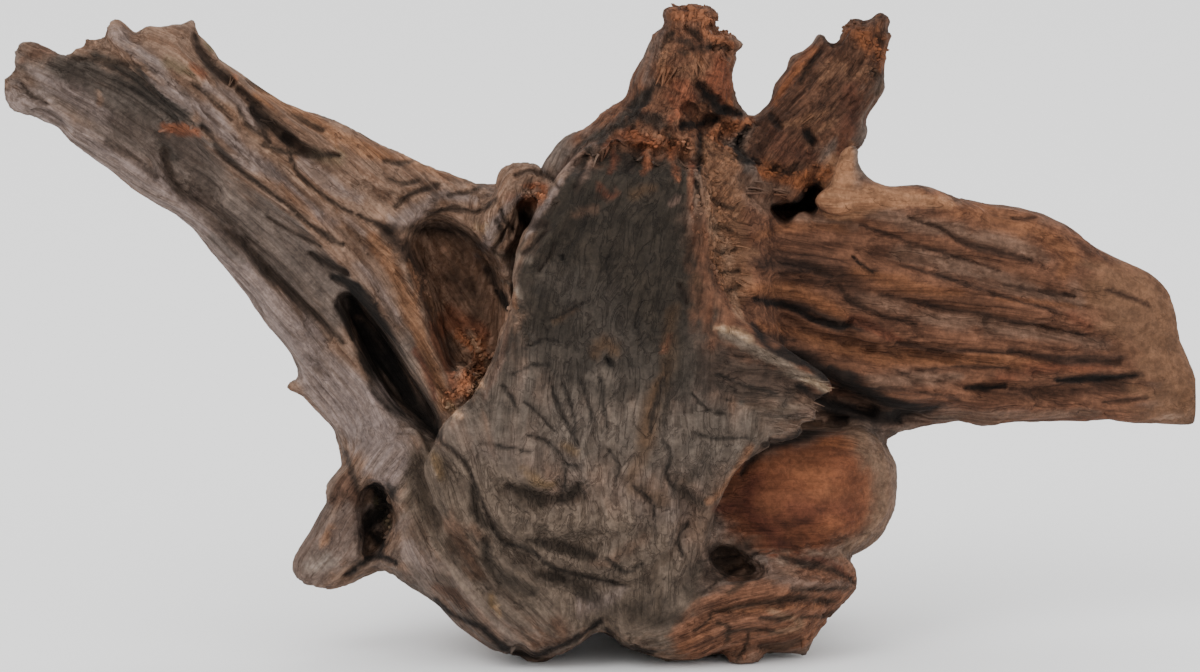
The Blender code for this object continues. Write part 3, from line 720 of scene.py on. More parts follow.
    groove(0.9, Tone.PLANK_SHADE, (880, 386, 3), (930, 392, 3.5), (960, 398, 3)),
    # the great shadow between the spur and the plank
    groove(
        1.0, Tone.SHADOW, (752, 320, 5), (768, 344, 8), (800, 358, 10), (836, 372, 12), (870, 392, 13),
        (908, 404, 8), (938, 404, 3),
    ),
    groove(0.6, Tone.SHADOW, (800, 386, 8), (830, 402, 16), (866, 412, 14), (900, 412, 8)),
    groove(0.6, Tone.SHADOW, (760, 446, 6), (790, 438, 10), (822, 424, 13), (846, 418, 9), far=-30.0),
    # the dome and heel
    groove(1.2, Tone.HOLLOW, (760, 446, 8), (748, 460, 7), (740, 474, 4)),
    groove(-2.5, Tone.HOLLOW, (712, 556, 16), (728, 556, 18), (742, 548, 12)),
    groove(0.6, Tone.HOLLOW, (728, 562, 12), (712, 574, 13), (700, 584, 8)),
    groove(0.9, Tone.GROOVE, (756, 552, 3), (738, 568, 3), (716, 582, 4), (700, 594, 3)),
    groove(1.2, Tone.GROOVE, (780, 556, 6), (806, 564, 7), (836, 572, 6), (854, 582, 4)),
    groove(1.6, Tone.SOFT_GROOVE, (716, 612, 4), (756, 604, 5), (800, 600, 6), (834, 602, 4)),
    groove(1.2, Tone.SOFT_GROOVE, (760, 618, 3), (776, 620, 4), (790, 617, 3)),
    groove(1.2, Tone.SOFT_GROOVE, (716, 624, 4), (728, 628, 4), (726, 642, 4)),
    groove(1.4, Tone.SOFT_GROOVE, (760, 648, 5), (784, 646, 6), (800, 640, 4)),
    groove(1.2, Tone.SOFT_GROOVE, (750, 566, 5), (744, 580, 6), (728, 594, 4)),
    # the heel's pleats
    *(
        groove(0.9, Tone.SOFT_GROOVE, *points)
        for points in (
            ((722, 634, 2.5), (752, 630, 3), (782, 634, 2.5)),
            ((800, 618, 2.5), (822, 616, 3), (838, 610, 2.5)),
            ((790, 590, 2.5), (820, 590, 3), (850, 588, 2.5)),
            ((692, 632, 2.5), (706, 622, 3), (712, 610, 2.5)),
        )
    ),
    groove(1.0, Tone.SOFT_GROOVE, (736, 660, 3), (744, 648, 3), (748, 634, 2.5)),
    # the knot hole and the stub
    groove(
        1.2, Tone.BLACK, (368, 486, 9), (380, 492, 13), (380, 508, 14), (366, 518, 12), (364, 532, 12),
        (376, 544, 10),
    ),
    groove(1.0, Tone.GROOVE, (340, 452, 5), (346, 470, 6), (354, 490, 5)),
    groove(1.4, Tone.BLACK, (340, 576, 4), (352, 566, 6), (372, 556, 7), (392, 562, 5)),
    # dark lower edges
    groove(
        0.8, Tone.SHADOW, (432, 600, 5), (450, 616, 5), (480, 630, 5), (500, 648, 5), (530, 656, 6),
        (566, 642, 5), (598, 622, 5),
    ),
    groove(0.8, Tone.SHADOW, (604, 630, 4), (616, 646, 5), (650, 653, 4)),
)

RIDGES = (
    cut(6.5, 1.0, (576, 158, 24), (604, 150, 30), (650, 148, 32), (690, 152, 26), far=-62.0),
    cut(-15.0, 0.8, (504, 200, 11), (512, 222, 13), (500, 244, 9), near=-56.0),
    cut(-1.8, 1.0, (526, 262, 5), (544, 238, 7), (558, 218, 7), (568, 202, 5)),
    cut(-1.4, 1.0, (500, 274, 6), (520, 272, 8), (542, 274, 5)),
    cut(-2.2, 1.0, (506, 300, 5), (516, 308, 8), (526, 316, 5)),
    cut(-1.2, 1.0, (412, 262, 6), (418, 286, 8), (430, 304, 6)),
    cut(-2.0, 1.0, (464, 352, 8), (474, 372, 9), (458, 394, 9)),
    cut(
        -1.6, 1.0, (110, 28, 10), (160, 86, 13), (230, 148, 13), (322, 224, 13), (388, 298, 11),
        (436, 396, 8),
    ),
    cut(-1.4, 1.0, (150, 120, 8), (170, 122, 10), (192, 126, 7)),
    cut(-1.4, 1.0, (716, 326, 7), (740, 336, 8), (780, 358, 7), (812, 376, 7), (828, 390, 6), far=-70.0),
    cut(-1.2, 1.0, (684, 168, 5), (686, 196, 5), (690, 232, 5), far=-60.0),
    cut(-1.6, 1.0, (745, 287, 8), (790, 287, 9), (820, 298, 9), (848, 316, 7)),
    cut(-1.2, 1.0, (468, 236, 9), (482, 210, 10), (500, 190, 9), (506, 172, 7)),
    cut(-1.2, 1.0, (522, 232, 6), (536, 212, 7), (548, 196, 6)),
    cut(-1.2, 1.0, (396, 224, 9), (424, 198, 10), (450, 198, 8)),
    cut(-1.0, 1.0, (504, 286, 4), (512, 300, 6), (506, 330, 4)),
    cut(-1.6, 1.0, (512, 474, 12), (532, 478, 14), (552, 472, 10)),
    cut(-1.2, 1.0, (500, 506, 10), (560, 524, 14), (620, 520, 14)),
    cut(-1.2, 1.0, (760, 574, 8), (800, 580, 9), (846, 586, 7)),
    cut(-6.0, 1.0, (750, 560, 10), (762, 568, 12), (756, 580, 9), near=-60.0),
    cut(-1.2, 1.0, (722, 606, 6), (770, 612, 8), (820, 610, 7)),
    cut(-1.0, 1.0, (712, 640, 6), (720, 626, 6), (742, 620, 6)),
)

PATCHES = (
    # the split plank, which everything else lies in front of
    patch(Tone.PLANK, 1.0, 0.3, (770, 290, 130), (950, 300, 140), (1080, 330, 130)),
    patch(Tone.PLANK_END, 1.0, 0.7, (1120, 290, 50), (1160, 320, 60), (1180, 380, 70)),
    patch(Tone.PLANK_PINK, 0.9, 0.8, (868, 206, 12), (930, 222, 14), (1000, 240, 12), (1048, 256, 8)),
    patch(Tone.PLANK_PINK, 0.9, 0.8, (900, 250, 12), (960, 264, 16), (1020, 284, 14), (1080, 306, 10)),
    patch(Tone.PLANK_PINK, 0.8, 0.8, (860, 300, 12), (960, 318, 12), (1060, 336, 12), (1110, 342, 8)),
    patch(Tone.PLANK_PINK, 0.8, 0.9, (740, 196, 12), (790, 212, 14), (850, 222, 12)),
    patch(
        Tone.PLANK_ORANGE, 0.9, 0.8, (900, 194, 8), (960, 204, 12), (1030, 226, 14), (1070, 250, 14),
        (1062, 274, 8),
    ),
    patch(Tone.PLANK_ORANGE, 0.8, 0.8, (748, 236, 5), (790, 224, 7), (846, 226, 5)),
    # the darkest patches in this group are painted shade: beside the torn crest, in the plank's crevices
    # and under the spur
    patch(Tone.PLANK_SHADE, 0.75, 0.8, (742, 254, 14), (790, 262, 20), (832, 268, 18), (856, 292, 12)),
    patch(Tone.PLANK_ORANGE, 0.8, 0.8, (856, 268, 10), (900, 280, 10), (960, 292, 6)),
    patch(Tone.PLANK_ORANGE, 1.0, 0.7, (744, 288, 8), (790, 288, 10), (822, 300, 11), (848, 318, 8)),
    patch(Tone.PLANK_ORANGE, 0.9, 0.8, (756, 322, 8), (800, 334, 10), (840, 346, 10), (880, 358, 10)),
    patch(Tone.PLANK_ORANGE, 0.9, 0.8, (880, 356, 12), (950, 358, 12), (1020, 362, 12), (1090, 368, 10)),
    patch(Tone.PLANK_ORANGE, 0.8, 0.8, (1000, 296, 5), (1040, 300, 6), (1080, 306, 4)),
    patch(Tone.PLANK_RED, 0.8, 0.9, (1000, 374, 10), (1060, 366, 12), (1110, 366, 8)),
    patch(Tone.PLANK_PINK, 0.8, 0.8, (872, 380, 12), (920, 376, 14), (960, 376, 10)),
    patch(Tone.PLANK_SHADE, 0.6, 0.9, (1010, 392, 10), (1070, 390, 12), (1120, 386, 10)),
    patch(Tone.PLANK_PINK, 0.9, 0.7, (884, 406, 5), (940, 412, 6), (1010, 414, 6), (1100, 412, 5)),
    patch(Tone.PLANK_PINK, 0.6, 0.9, (1076, 282, 10), (1084, 300, 8)),
    patch(Tone.PLANK_RED, 0.6, 0.9, (1076, 314, 10), (1090, 326, 8)),
    patch(Tone.PLANK_SHADE, 0.85, 0.9, (1046, 354, 5), (1086, 358, 10), (1124, 356, 8)),
    patch(Tone.PLANK_SHADE, 0.8, 0.9, (1062, 380, 5), (1100, 376, 8), (1142, 374, 5)),
    patch(Tone.SHADOW, 0.85, 0.9, (770, 300, 4), (800, 306, 8), (836, 320, 8), (862, 330, 5), far=-30.0),
    patch(
        Tone.SHADOW, 0.9, 0.8, (786, 346, 6), (824, 366, 14), (866, 392, 18), (912, 408, 12), (944, 404, 4),
    ),
    patch(Tone.SHADOW, 0.9, 0.8, (826, 404, 14), (862, 416, 14), (900, 416, 8)),
    patch(Tone.PLANK_SHADE, 0.7, 0.9, (756, 332, 6), (776, 340, 8), (800, 350, 8), (850, 376, 8)),
    # the web and its nub
    patch(
        Tone.WEB, 1.0, 0.5, (846, 142, 10), (838, 170, 22), (836, 196, 24), (880, 192, 16), (950, 198, 8),
    ),
    # the branch
    patch(Tone.BRANCH, 1.0, 0.4, (870, 20, 40), (820, 90, 62), (780, 150, 50), near=-50.0),
    patch(Tone.BRANCH_RED, 0.9, 0.8, (850, 84, 16), (852, 118, 20), (840, 146, 14), near=-50.0),
    patch(Tone.BRANCH_RED, 0.7, 0.9, (776, 130, 14), (786, 146, 18), (812, 150, 14), near=-50.0),
    patch(Tone.BRANCH_ORANGE, 0.9, 0.7, (774, 100, 7), (794, 66, 8), (812, 44, 8)),
    patch(Tone.BRANCH_ORANGE, 0.8, 0.8, (854, 28, 12), (876, 36, 14), (880, 60, 8)),
    patch(Tone.BRANCH_ORANGE, 0.9, 0.8, (752, 168, 14), (790, 172, 16), (826, 170, 12), near=-50.0),
    patch(Tone.BEIGE, 0.8, 0.7, (786, 122, 6), (806, 116, 7), (832, 104, 5)),
    patch(Tone.BEIGE, 0.8, 0.7, (812, 130, 4), (824, 122, 6), (834, 116, 4)),
    patch(Tone.BEIGE, 0.7, 0.9, (822, 70, 8), (830, 58, 10), (842, 64, 8)),
    patch(Tone.BEIGE, 0.6, 0.9, (846, 74, 5), (862, 66, 6), (872, 62, 4)),
    # the peak
    patch(Tone.PEAK, 1.0, 0.4, (688, 10, 44), (690, 70, 64), (660, 118, 70), (600, 134, 40), near=-68.0),
    # painted shade in the peak's holes and hollows
    patch(Tone.HOLLOW, 0.9, 0.8, (652, 84, 8), (636, 106, 14), (626, 124, 12)),
    patch(Tone.HOLLOW, 0.7, 0.9, (680, 36, 5), (700, 44, 6), (716, 42, 4)),
    patch(Tone.HOLLOW, 0.7, 0.9, (690, 88, 6), (700, 96, 7), (722, 104, 7)),
    patch(Tone.PEAK_ORANGE, 0.8, 0.8, (660, 62, 5), (668, 70, 7), (672, 84, 6)),
    patch(Tone.BEIGE, 0.8, 0.9, (668, 38, 5), (664, 50, 7), (660, 62, 5)),
    patch(Tone.BEIGE, 0.7, 0.9, (690, 52, 5), (698, 62, 6), (690, 74, 5)),
    patch(Tone.PEAK_RED, 0.8, 0.9, (668, 94, 8), (676, 108, 9), (668, 118, 6)),
    patch(Tone.CRUMB_PALE, 0.6, 0.9, (716, 40, 4), (726, 46, 5), (730, 52, 3)),
    patch(Tone.HOLLOW, 0.6, 0.9, (664, 24, 4), (672, 34, 5), (684, 36, 4)),
    patch(Tone.SLAB_RIM, 0.9, 0.8, (644, 78, 8), (650, 52, 8), (660, 30, 7)),
    patch(Tone.PEAK_RED, 1.0, 0.6, (718, 56, 12), (718, 78, 15), (724, 94, 10)),
    patch(Tone.PEAK_RED, 0.9, 0.8, (680, 84, 12), (684, 104, 14)),
    patch(Tone.PEAK_ORANGE, 0.9, 0.7, (674, 14, 9), (692, 10, 9), (706, 16, 7)),
    patch(Tone.PEAK_ORANGE, 0.9, 0.7, (704, 28, 8), (720, 34, 8), (730, 40, 5)),
    patch(Tone.PEAK_ORANGE, 1.0, 0.6, (708, 130, 10), (728, 124, 12), (748, 118, 7)),
    patch(Tone.PEAK_ORANGE, 0.9, 0.7, (710, 148, 10), (724, 154, 12)),
    patch(Tone.PEAK_ORANGE, 0.9, 0.7, (726, 98, 6), (732, 108, 5)),
    patch(Tone.CRUMB, 0.9, 0.8, (636, 136, 9), (658, 142, 11), (684, 140, 10)),
    patch(Tone.CRUMB_PALE, 0.8, 0.8, (674, 120, 6), (682, 134, 7), (690, 150, 5)),
    patch(Tone.BEIGE, 0.7, 0.9, (674, 68, 8), (690, 62, 8)),
    patch(Tone.SLAB_RIM, 0.8, 0.9, (584, 132, 10), (604, 124, 10), (620, 112, 8)),
    patch(Tone.PEAK_RED, 0.7, 0.9, (600, 140, 7), (620, 132, 8)),
    # the arm
    patch(
        Tone.ARM_TAN, 1.0, 0.5, (110, 40, 80), (260, 150, 90), (400, 240, 100), (500, 210, 70), far=-40.0,
    ),
    patch(Tone.ARM_GREY, 1.0, 0.6, (60, 75, 40), (150, 140, 50), (250, 226, 46), (330, 300, 40)),
    patch(
        Tone.PINK_GREY, 1.0, 0.6, (10, 98, 26), (80, 142, 26), (160, 196, 26), (240, 276, 30),
        (300, 350, 34), (350, 410, 36), (384, 462, 36),
    ),
    patch(Tone.PINK_GREY, 0.8, 0.8, (24, 68, 10), (60, 88, 16), (100, 116, 14)),
    # painted shade in the arm's scoop
    patch(Tone.SCOOP, 0.9, 0.8, (56, 62, 16), (100, 72, 26), (150, 100, 30), (180, 116, 14)),
    patch(Tone.SCOOP_DEEP_SHADE, 0.9, 0.8, (90, 50, 8), (118, 64, 14), (140, 80, 16), (176, 106, 14)),
    patch(Tone.ARM_TAN, 0.8, 0.9, (92, 88, 3), (94, 98, 4)),
    patch(Tone.STUB_BROWN, 0.8, 0.9, (18, 56, 10), (34, 46, 12), (48, 48, 8)),
    patch(
        Tone.PINK_GREY, 0.9, 0.7, (108, 26, 10), (130, 44, 11), (160, 78, 12), (196, 108, 12),
        (236, 146, 14), (274, 172, 12),
    ),
    patch(Tone.ARM_TAN, 0.9, 0.7, (130, 34, 10), (160, 34, 12), (180, 40, 8)),
    patch(Tone.MOSS, 0.5, 0.9, (160, 56, 8), (180, 66, 9)),
    patch(Tone.CRUMB, 0.8, 0.8, (186, 62, 6), (198, 70, 6)),
    patch(Tone.PINK_GREY, 0.7, 0.8, (200, 84, 8), (228, 96, 12), (248, 120, 10)),
    patch(Tone.PINK_GREY, 0.7, 0.8, (296, 160, 10), (322, 176, 12), (352, 196, 10)),
    patch(Tone.ARM_OCHRE, 1.0, 0.7, (250, 90, 6), (286, 106, 12), (330, 132, 14), (380, 152, 10)),
    patch(Tone.ARM_OCHRE, 0.9, 0.8, (276, 178, 7), (290, 192, 10), (310, 208, 10), (344, 226, 9)),
    patch(Tone.PINK_GREY, 0.7, 0.8, (314, 208, 8), (340, 220, 9), (360, 240, 9)),
    patch(
        Tone.ARM_OCHRE, 0.9, 0.7, (366, 238, 10), (388, 270, 12), (402, 306, 11), (420, 344, 10),
        (436, 380, 9), (440, 408, 7),
    ),
    patch(Tone.PINK_GREY, 0.7, 0.9, (352, 262, 8), (376, 290, 9), (392, 320, 7)),
    patch(Tone.PLANK_RED, 0.8, 0.9, (412, 350, 5), (424, 376, 6), (432, 400, 5)),
    patch(Tone.PINK_GREY, 0.8, 0.8, (392, 220, 10), (414, 210, 14), (436, 194, 10), (470, 196, 8)),
    patch(Tone.ARM_OCHRE, 0.8, 0.8, (396, 150, 8), (430, 166, 10), (470, 176, 8)),
    patch(Tone.MOSS, 0.45, 0.9, (312, 150, 10), (334, 156, 10)),
    patch(Tone.POCKET_RED, 0.9, 0.6, (156, 124, 5), (168, 126, 7), (190, 130, 6)),
    patch(Tone.CRUMB, 0.5, 0.8, (166, 122, 4), (180, 126, 4)),
    patch(Tone.PINK_GREY, 0.9, 0.8, (262, 158, 8), (296, 192, 10), (330, 220, 9)),
    patch(Tone.CRUMB_PALE, 1.0, 0.6, (228, 78, 3.5), (231, 71, 3.5)),
    # painted shade in two hollows of the arm
    patch(Tone.SCOOP_DEEP_SHADE, 0.8, 0.8, (158, 140, 9), (168, 156, 9)),
    patch(Tone.SCOOP, 0.7, 0.9, (204, 236, 8), (238, 258, 8)),
    # the ring knot and the strands below it
    patch(
        Tone.ARM_TAN, 1.0, 0.6, (468, 236, 10), (482, 208, 11), (502, 180, 10), (520, 166, 8),
        (540, 176, 8),
    ),
    patch(Tone.CREAM, 0.6, 0.8, (472, 224, 6), (486, 226, 8), (492, 238, 6)),
    patch(Tone.POCKET_RED, 0.95, 0.7, (508, 196, 9), (530, 198, 14), (550, 196, 10)),
    patch(Tone.CRUMB, 0.95, 0.7, (520, 182, 6), (536, 184, 9), (548, 194, 8)),
    patch(Tone.POCKET_CRUMB, 0.9, 0.8, (534, 190, 5), (542, 196, 6), (550, 204, 5)),
    # painted shade in the ring knot's hole
    patch(Tone.HOLLOW, 0.95, 0.7, (518, 214, 9), (532, 220, 10), (543, 222, 6)),
    patch(
        Tone.PINK_GREY, 0.95, 0.7, (474, 256, 8), (484, 240, 9), (492, 222, 8), (504, 204, 7),
        (516, 192, 6),
    ),
    patch(Tone.CREAM, 0.5, 0.8, (476, 250, 5), (484, 258, 6), (490, 262, 5)),
    patch(Tone.STUB_BROWN, 0.8, 0.8, (474, 248, 6), (486, 258, 8), (494, 262, 5), near=-62.0),
    # the pocket
    # painted shade, near black, in the gap below the arm
    patch(
        Tone.BLACK, 0.9, 0.8, (344, 292, 8), (352, 320, 12), (362, 350, 14), (376, 384, 14), (394, 412, 12),
    ),
    patch(
        Tone.POCKET, 1.0, 0.4, (410, 250, 26), (448, 280, 46), (474, 330, 42), (470, 385, 26), near=-48.0,
    ),
    patch(Tone.POCKET_RED, 0.9, 0.8, (430, 330, 14), (450, 320, 18), (480, 330, 14), near=-48.0),
    # painted shade in the pocket's hollows
    patch(Tone.HOLLOW, 0.7, 0.9, (446, 272, 12), (470, 290, 18), (474, 312, 14), near=-40.0),
    patch(Tone.POCKET_CRUMB, 0.9, 0.8, (452, 336, 8), (474, 346, 14), (470, 372, 14), (450, 396, 10)),
    # painted shade in a small hollow among the crumbs
    patch(Tone.HOLLOW, 0.8, 0.9, (458, 362, 4), (466, 366, 5), (474, 360, 4)),
    patch(Tone.POCKET_CHIP, 0.9, 0.7, (466, 330, 4), (472, 344, 4), (484, 362, 4)),
    patch(Tone.POCKET_CHIP, 0.9, 0.7, (476, 380, 6), (470, 388, 5)),
    patch(Tone.CREAM, 0.9, 0.6, (446, 402, 4), (452, 412, 7)),
    patch(Tone.POCKET_CHIP, 0.7, 0.8, (406, 266, 5), (412, 280, 6), (410, 294, 4)),
    patch(Tone.POCKET_CHIP, 0.6, 0.8, (420, 294, 4), (428, 306, 4)),
    # the lower skirt
    patch(
        Tone.LOWER, 1.0, 0.5, (430, 480, 50), (480, 520, 80), (540, 560, 90), (620, 580, 90),
        (660, 610, 60),
    ),
    patch(Tone.PINK_GREY, 1.0, 0.7, (356, 396, 26), (372, 430, 28), (384, 462, 24)),
    patch(Tone.PINK_GREY, 0.6, 0.9, (404, 548, 14), (430, 566, 14)),
    patch(Tone.LOWER_OCHRE, 0.7, 0.9, (430, 456, 8), (438, 474, 8)),
    patch(Tone.LOWER_WARM, 0.8, 0.9, (446, 520, 14), (460, 546, 16), (474, 572, 12)),
    patch(Tone.LOWER_WARM, 0.7, 0.9, (470, 528, 8), (482, 540, 8)),
    patch(Tone.LOWER_OCHRE, 0.8, 0.8, (488, 596, 5), (490, 606, 5)),
    patch(Tone.CREAM, 0.6, 0.8, (492, 608, 3), (496, 618, 3)),
    patch(Tone.STUB_BROWN, 0.8, 0.8, (432, 588, 7), (448, 594, 8), (462, 608, 7)),
    patch(Tone.LOWER_WARM, 0.9, 0.8, (552, 622, 10), (560, 640, 9), (530, 646, 6)),
    patch(Tone.PINK_GREY, 0.6, 0.9, (580, 606, 14), (604, 600, 12), (620, 590, 8)),
    # painted shade along the skirt's lower right
    patch(Tone.LOWER_SHADE, 0.8, 0.9, (624, 606, 10), (650, 618, 18), (690, 622, 14)),
    patch(Tone.LOWER_SHADE, 0.7, 0.9, (684, 590, 10), (704, 604, 12)),
    # the dark slab
    patch(Tone.SLAB, 1.0, 0.35, (640, 140, 56), (612, 230, 104), (606, 320, 112), far=SLAB_FAR),
    patch(Tone.SLAB_MID, 0.9, 0.9, (520, 350, 40), (600, 370, 50), (680, 380, 50), far=SLAB_FAR),
    patch(
        Tone.SLAB_LOW, 0.95, 0.9, (470, 400, 50), (550, 420, 76), (640, 440, 70), (720, 440, 60),
        far=SLAB_FAR,
    ),
    patch(Tone.SLAB_MID, 0.9, 0.8, (560, 280, 34), (590, 300, 44), (610, 340, 40), far=SLAB_FAR),
    patch(Tone.SLAB_MID, 0.8, 0.8, (690, 350, 50), (740, 380, 44), (790, 390, 24), far=SLAB_FAR),
    patch(Tone.SLAB_LOW, 0.8, 0.8, (700, 430, 34), (740, 430, 34), (780, 414, 22), far=SLAB_FAR),
    patch(Tone.SLAB, 0.8, 0.9, (690, 470, 10), (680, 490, 12), (700, 500, 8), far=SLAB_FAR),
    patch(Tone.SLAB_LOW, 0.8, 0.9, (600, 372, 10), (614, 378, 12), (580, 372, 8), far=SLAB_FAR),
    patch(
        Tone.SLAB_STAIN, 0.8, 0.9, (672, 308, 10), (668, 338, 13), (664, 370, 10), (650, 400, 14),
        (644, 440, 14), far=SLAB_FAR,
    ),
    patch(Tone.CRUMB, 0.55, 0.9, (668, 334, 5), (662, 350, 5), far=SLAB_FAR),
    patch(Tone.SLAB_STAIN, 0.6, 0.9, (592, 352, 9), (602, 340, 10), (612, 350, 8), far=SLAB_FAR),
    patch(Tone.SLAB_STAIN, 0.5, 0.9, (552, 320, 5), (564, 312, 6), (574, 306, 4), far=SLAB_FAR),
    patch(Tone.LOWER_WARM, 0.6, 0.9, (572, 212, 6), (594, 206, 6), far=SLAB_FAR),
    patch(Tone.SLAB_STAIN, 0.5, 0.9, (630, 192, 9), (650, 186, 8), far=SLAB_FAR),
    patch(Tone.SLAB_RIM, 0.95, 0.7, (548, 200, 7), (560, 172, 9), (578, 148, 8), (600, 130, 8), near=-66.0),
    patch(Tone.SLAB_RIM, 0.8, 0.7, (552, 190, 5), (560, 172, 6), (570, 154, 5)),
    patch(Tone.SLAB_RIM, 0.8, 0.7, (670, 200, 5), (676, 196, 6)),
    patch(Tone.LOWER_OCHRE, 0.7, 0.9, (520, 468, 9), (534, 482, 10), (548, 484, 7)),
    patch(Tone.LOWER_OCHRE, 0.6, 0.9, (560, 444, 7), (572, 450, 7)),
    patch(Tone.SLAB_STAIN, 0.6, 0.9, (640, 456, 14), (630, 486, 14), (660, 500, 12)),
    patch(Tone.LOWER_WARM, 0.5, 0.9, (640, 540, 10), (606, 560, 9), (588, 560, 8)),
    patch(Tone.SLAB_LOW, 0.7, 0.8, (424, 424, 10), (440, 432, 12), (452, 446, 8), far=SLAB_FAR),
    # the chips along the slab's left edge
    patch(Tone.PINK_GREY, 0.7, 0.9, (524, 234, 4), (534, 214, 5), (546, 196, 5), (558, 178, 5)),
    patch(Tone.CHIP_GREY, 0.7, 0.9, (494, 252, 5), (510, 254, 7), (526, 256, 6)),
    # painted shade in a hollow between the chips
    patch(Tone.HOLLOW, 0.9, 0.8, (484, 266, 6), (490, 276, 7), (494, 284, 4)),
    patch(Tone.CHIP_GREY, 0.9, 0.8, (500, 280, 5), (510, 286, 6), (514, 296, 5)),
    patch(Tone.BEIGE, 0.7, 0.9, (502, 282, 4), (510, 292, 4), (512, 306, 4)),
    patch(Tone.SLAB_RIM, 0.7, 0.9, (504, 322, 3), (500, 346, 4), (492, 372, 4), (480, 396, 4)),
    # the pocket's rim and wall
    patch(Tone.STUB_BROWN, 0.95, 0.8, (380, 226, 8), (396, 242, 11), (412, 266, 9), (418, 296, 8)),
    # painted shade under the pocket's rim
    patch(Tone.HOLLOW, 0.85, 0.8, (376, 234, 7), (392, 240, 11), (404, 258, 13), (412, 288, 9)),
    patch(Tone.HOLLOW, 0.8, 0.9, (386, 226, 6), (420, 226, 8), (456, 228, 8), (480, 244, 6)),
    patch(
        Tone.STUB_BROWN, 0.9, 0.8, (420, 300, 8), (432, 336, 9), (446, 372, 9), (452, 392, 6), near=-60.0,
    ),
    patch(Tone.POCKET_RED, 0.6, 0.9, (428, 322, 6), (440, 356, 7), (450, 384, 6), near=-60.0),
    patch(Tone.BEIGE, 0.9, 0.7, (404, 264, 5), (412, 278, 6), (410, 292, 5)),
    patch(Tone.BEIGE, 0.8, 0.7, (420, 292, 4), (428, 304, 5), (428, 314, 3)),
    # the pale strip along the arm, painted light and painted shade, and the loose chips
    patch(
        Tone.BEIGE_PALE, 0.6, 0.9, (222, 104, 7), (262, 146, 9), (300, 188, 10), (330, 214, 9),
        (356, 240, 7),
    ),
    # a painted highlight on the side of the heel's hollow, which lies in shade
    patch(Tone.STUB_PALE, 0.9, 0.8, (750, 560, 7), (760, 569, 9), (752, 579, 7), near=-60.0),
    # painted shade along the slab's lower edge and its lower right side
    patch(Tone.LOWER_SHADE, 0.5, 0.9, (600, 606, 18), (640, 602, 24), (676, 590, 18), (700, 566, 12)),
    patch(Tone.LOWER_SHADE, 0.55, 0.9, (704, 452, 8), (706, 490, 14), (702, 530, 16), (690, 570, 12)),
    patch(Tone.SLAB, 0.6, 0.9, (676, 250, 12), (678, 310, 16), (668, 370, 14), (664, 420, 9)),
    # painted shade, near black, in the gap below the arm and in the knot hole
    patch(Tone.BLACK, 0.85, 0.8, (348, 294, 11), (360, 320, 16), (378, 350, 15), (400, 382, 10)),
    patch(Tone.BLACK, 0.8, 0.9, (370, 488, 10), (376, 514, 14), (372, 546, 9)),
    patch(Tone.POCKET_CHIP, 0.9, 0.9, (473, 374, 5), (477, 382, 5)),
    patch(Tone.POCKET_CHIP, 0.9, 0.9, (449, 410, 5), (457, 415, 4)),
    # the slab's crumbled top
    patch(Tone.SLAB, 0.95, 0.8, (586, 150, 14), (606, 154, 18), (640, 164, 18), (676, 166, 12)),
    patch(Tone.SLAB, 0.9, 0.9, (596, 136, 7), (606, 124, 10), (622, 112, 9)),
    patch(Tone.SLAB, 0.9, 0.9, (570, 150, 5), (582, 138, 6), (598, 128, 5)),
    patch(Tone.CRUMB, 0.8, 0.9, (642, 150, 4), (646, 162, 6), (640, 172, 3)),
    patch(Tone.CRUMB, 0.8, 0.9, (668, 152, 4), (672, 164, 6), (676, 178, 3)),
    patch(Tone.PLANK_RED, 0.7, 0.9, (610, 146, 3), (612, 158, 5), (606, 170, 3)),
    patch(Tone.CRUMB, 0.9, 0.9, (628, 134, 8), (650, 138, 11), (672, 146, 10)),
    patch(Tone.CRUMB_PALE, 0.8, 0.9, (640, 128, 4), (656, 134, 5), (664, 144, 4)),
    patch(Tone.CRUMB_PALE, 0.8, 0.9, (676, 128, 5), (682, 142, 6), (680, 154, 4)),
    # painted shade in the hollows of the crumbled top
    patch(Tone.HOLLOW, 0.8, 0.9, (584, 152, 4), (580, 170, 5), (574, 190, 4)),
    patch(Tone.HOLLOW, 0.7, 0.9, (600, 132, 4), (596, 150, 5), (590, 166, 4)),
    patch(Tone.HOLLOW, 0.8, 0.9, (624, 156, 4), (630, 168, 5)),
    patch(Tone.SLAB_RIM, 0.7, 0.9, (592, 140, 3), (588, 156, 4), (580, 178, 3)),
    patch(Tone.PLANK_RED, 0.6, 0.9, (596, 182, 5), (606, 194, 6), (614, 190, 4), far=SLAB_FAR),
    # the slab's torn edge and the spur
    patch(
        Tone.BEIGE, 1.0, 0.4, (716, 140, 26), (718, 190, 26), (716, 250, 34), (716, 310, 32), near=-74.0,
        far=COLUMN_FAR,
    ),
    patch(
        Tone.BEIGE_PALE, 0.8, 0.8, (706, 190, 6), (706, 216, 7), (722, 244, 10), (726, 268, 10), near=-74.0,
        far=COLUMN_FAR,
    ),
    patch(
        Tone.BEIGE_PALE, 0.8, 0.8, (732, 292, 6), (736, 310, 8), (742, 330, 8), near=-80.0, far=COLUMN_FAR,
    ),
    patch(
        Tone.SLAB_STAIN, 0.8, 0.8, (694, 276, 8), (698, 296, 9), (702, 316, 8), near=-78.0, far=COLUMN_FAR,
    ),
    patch(Tone.BEIGE, 0.9, 0.7, (728, 250, 5), (744, 246, 5), (756, 250, 3)),
    patch(Tone.BEIGE, 0.9, 0.7, (728, 270, 5), (742, 272, 4), (752, 276, 3)),
    patch(
        Tone.PLANK_RED, 0.95, 0.7, (690, 160, 5), (688, 190, 5), (692, 220, 6), (694, 244, 4), near=-74.0,
    ),
    patch(Tone.CRUMB_PALE, 0.8, 0.8, (688, 166, 3), (689, 200, 3), (693, 230, 3), near=-74.0),
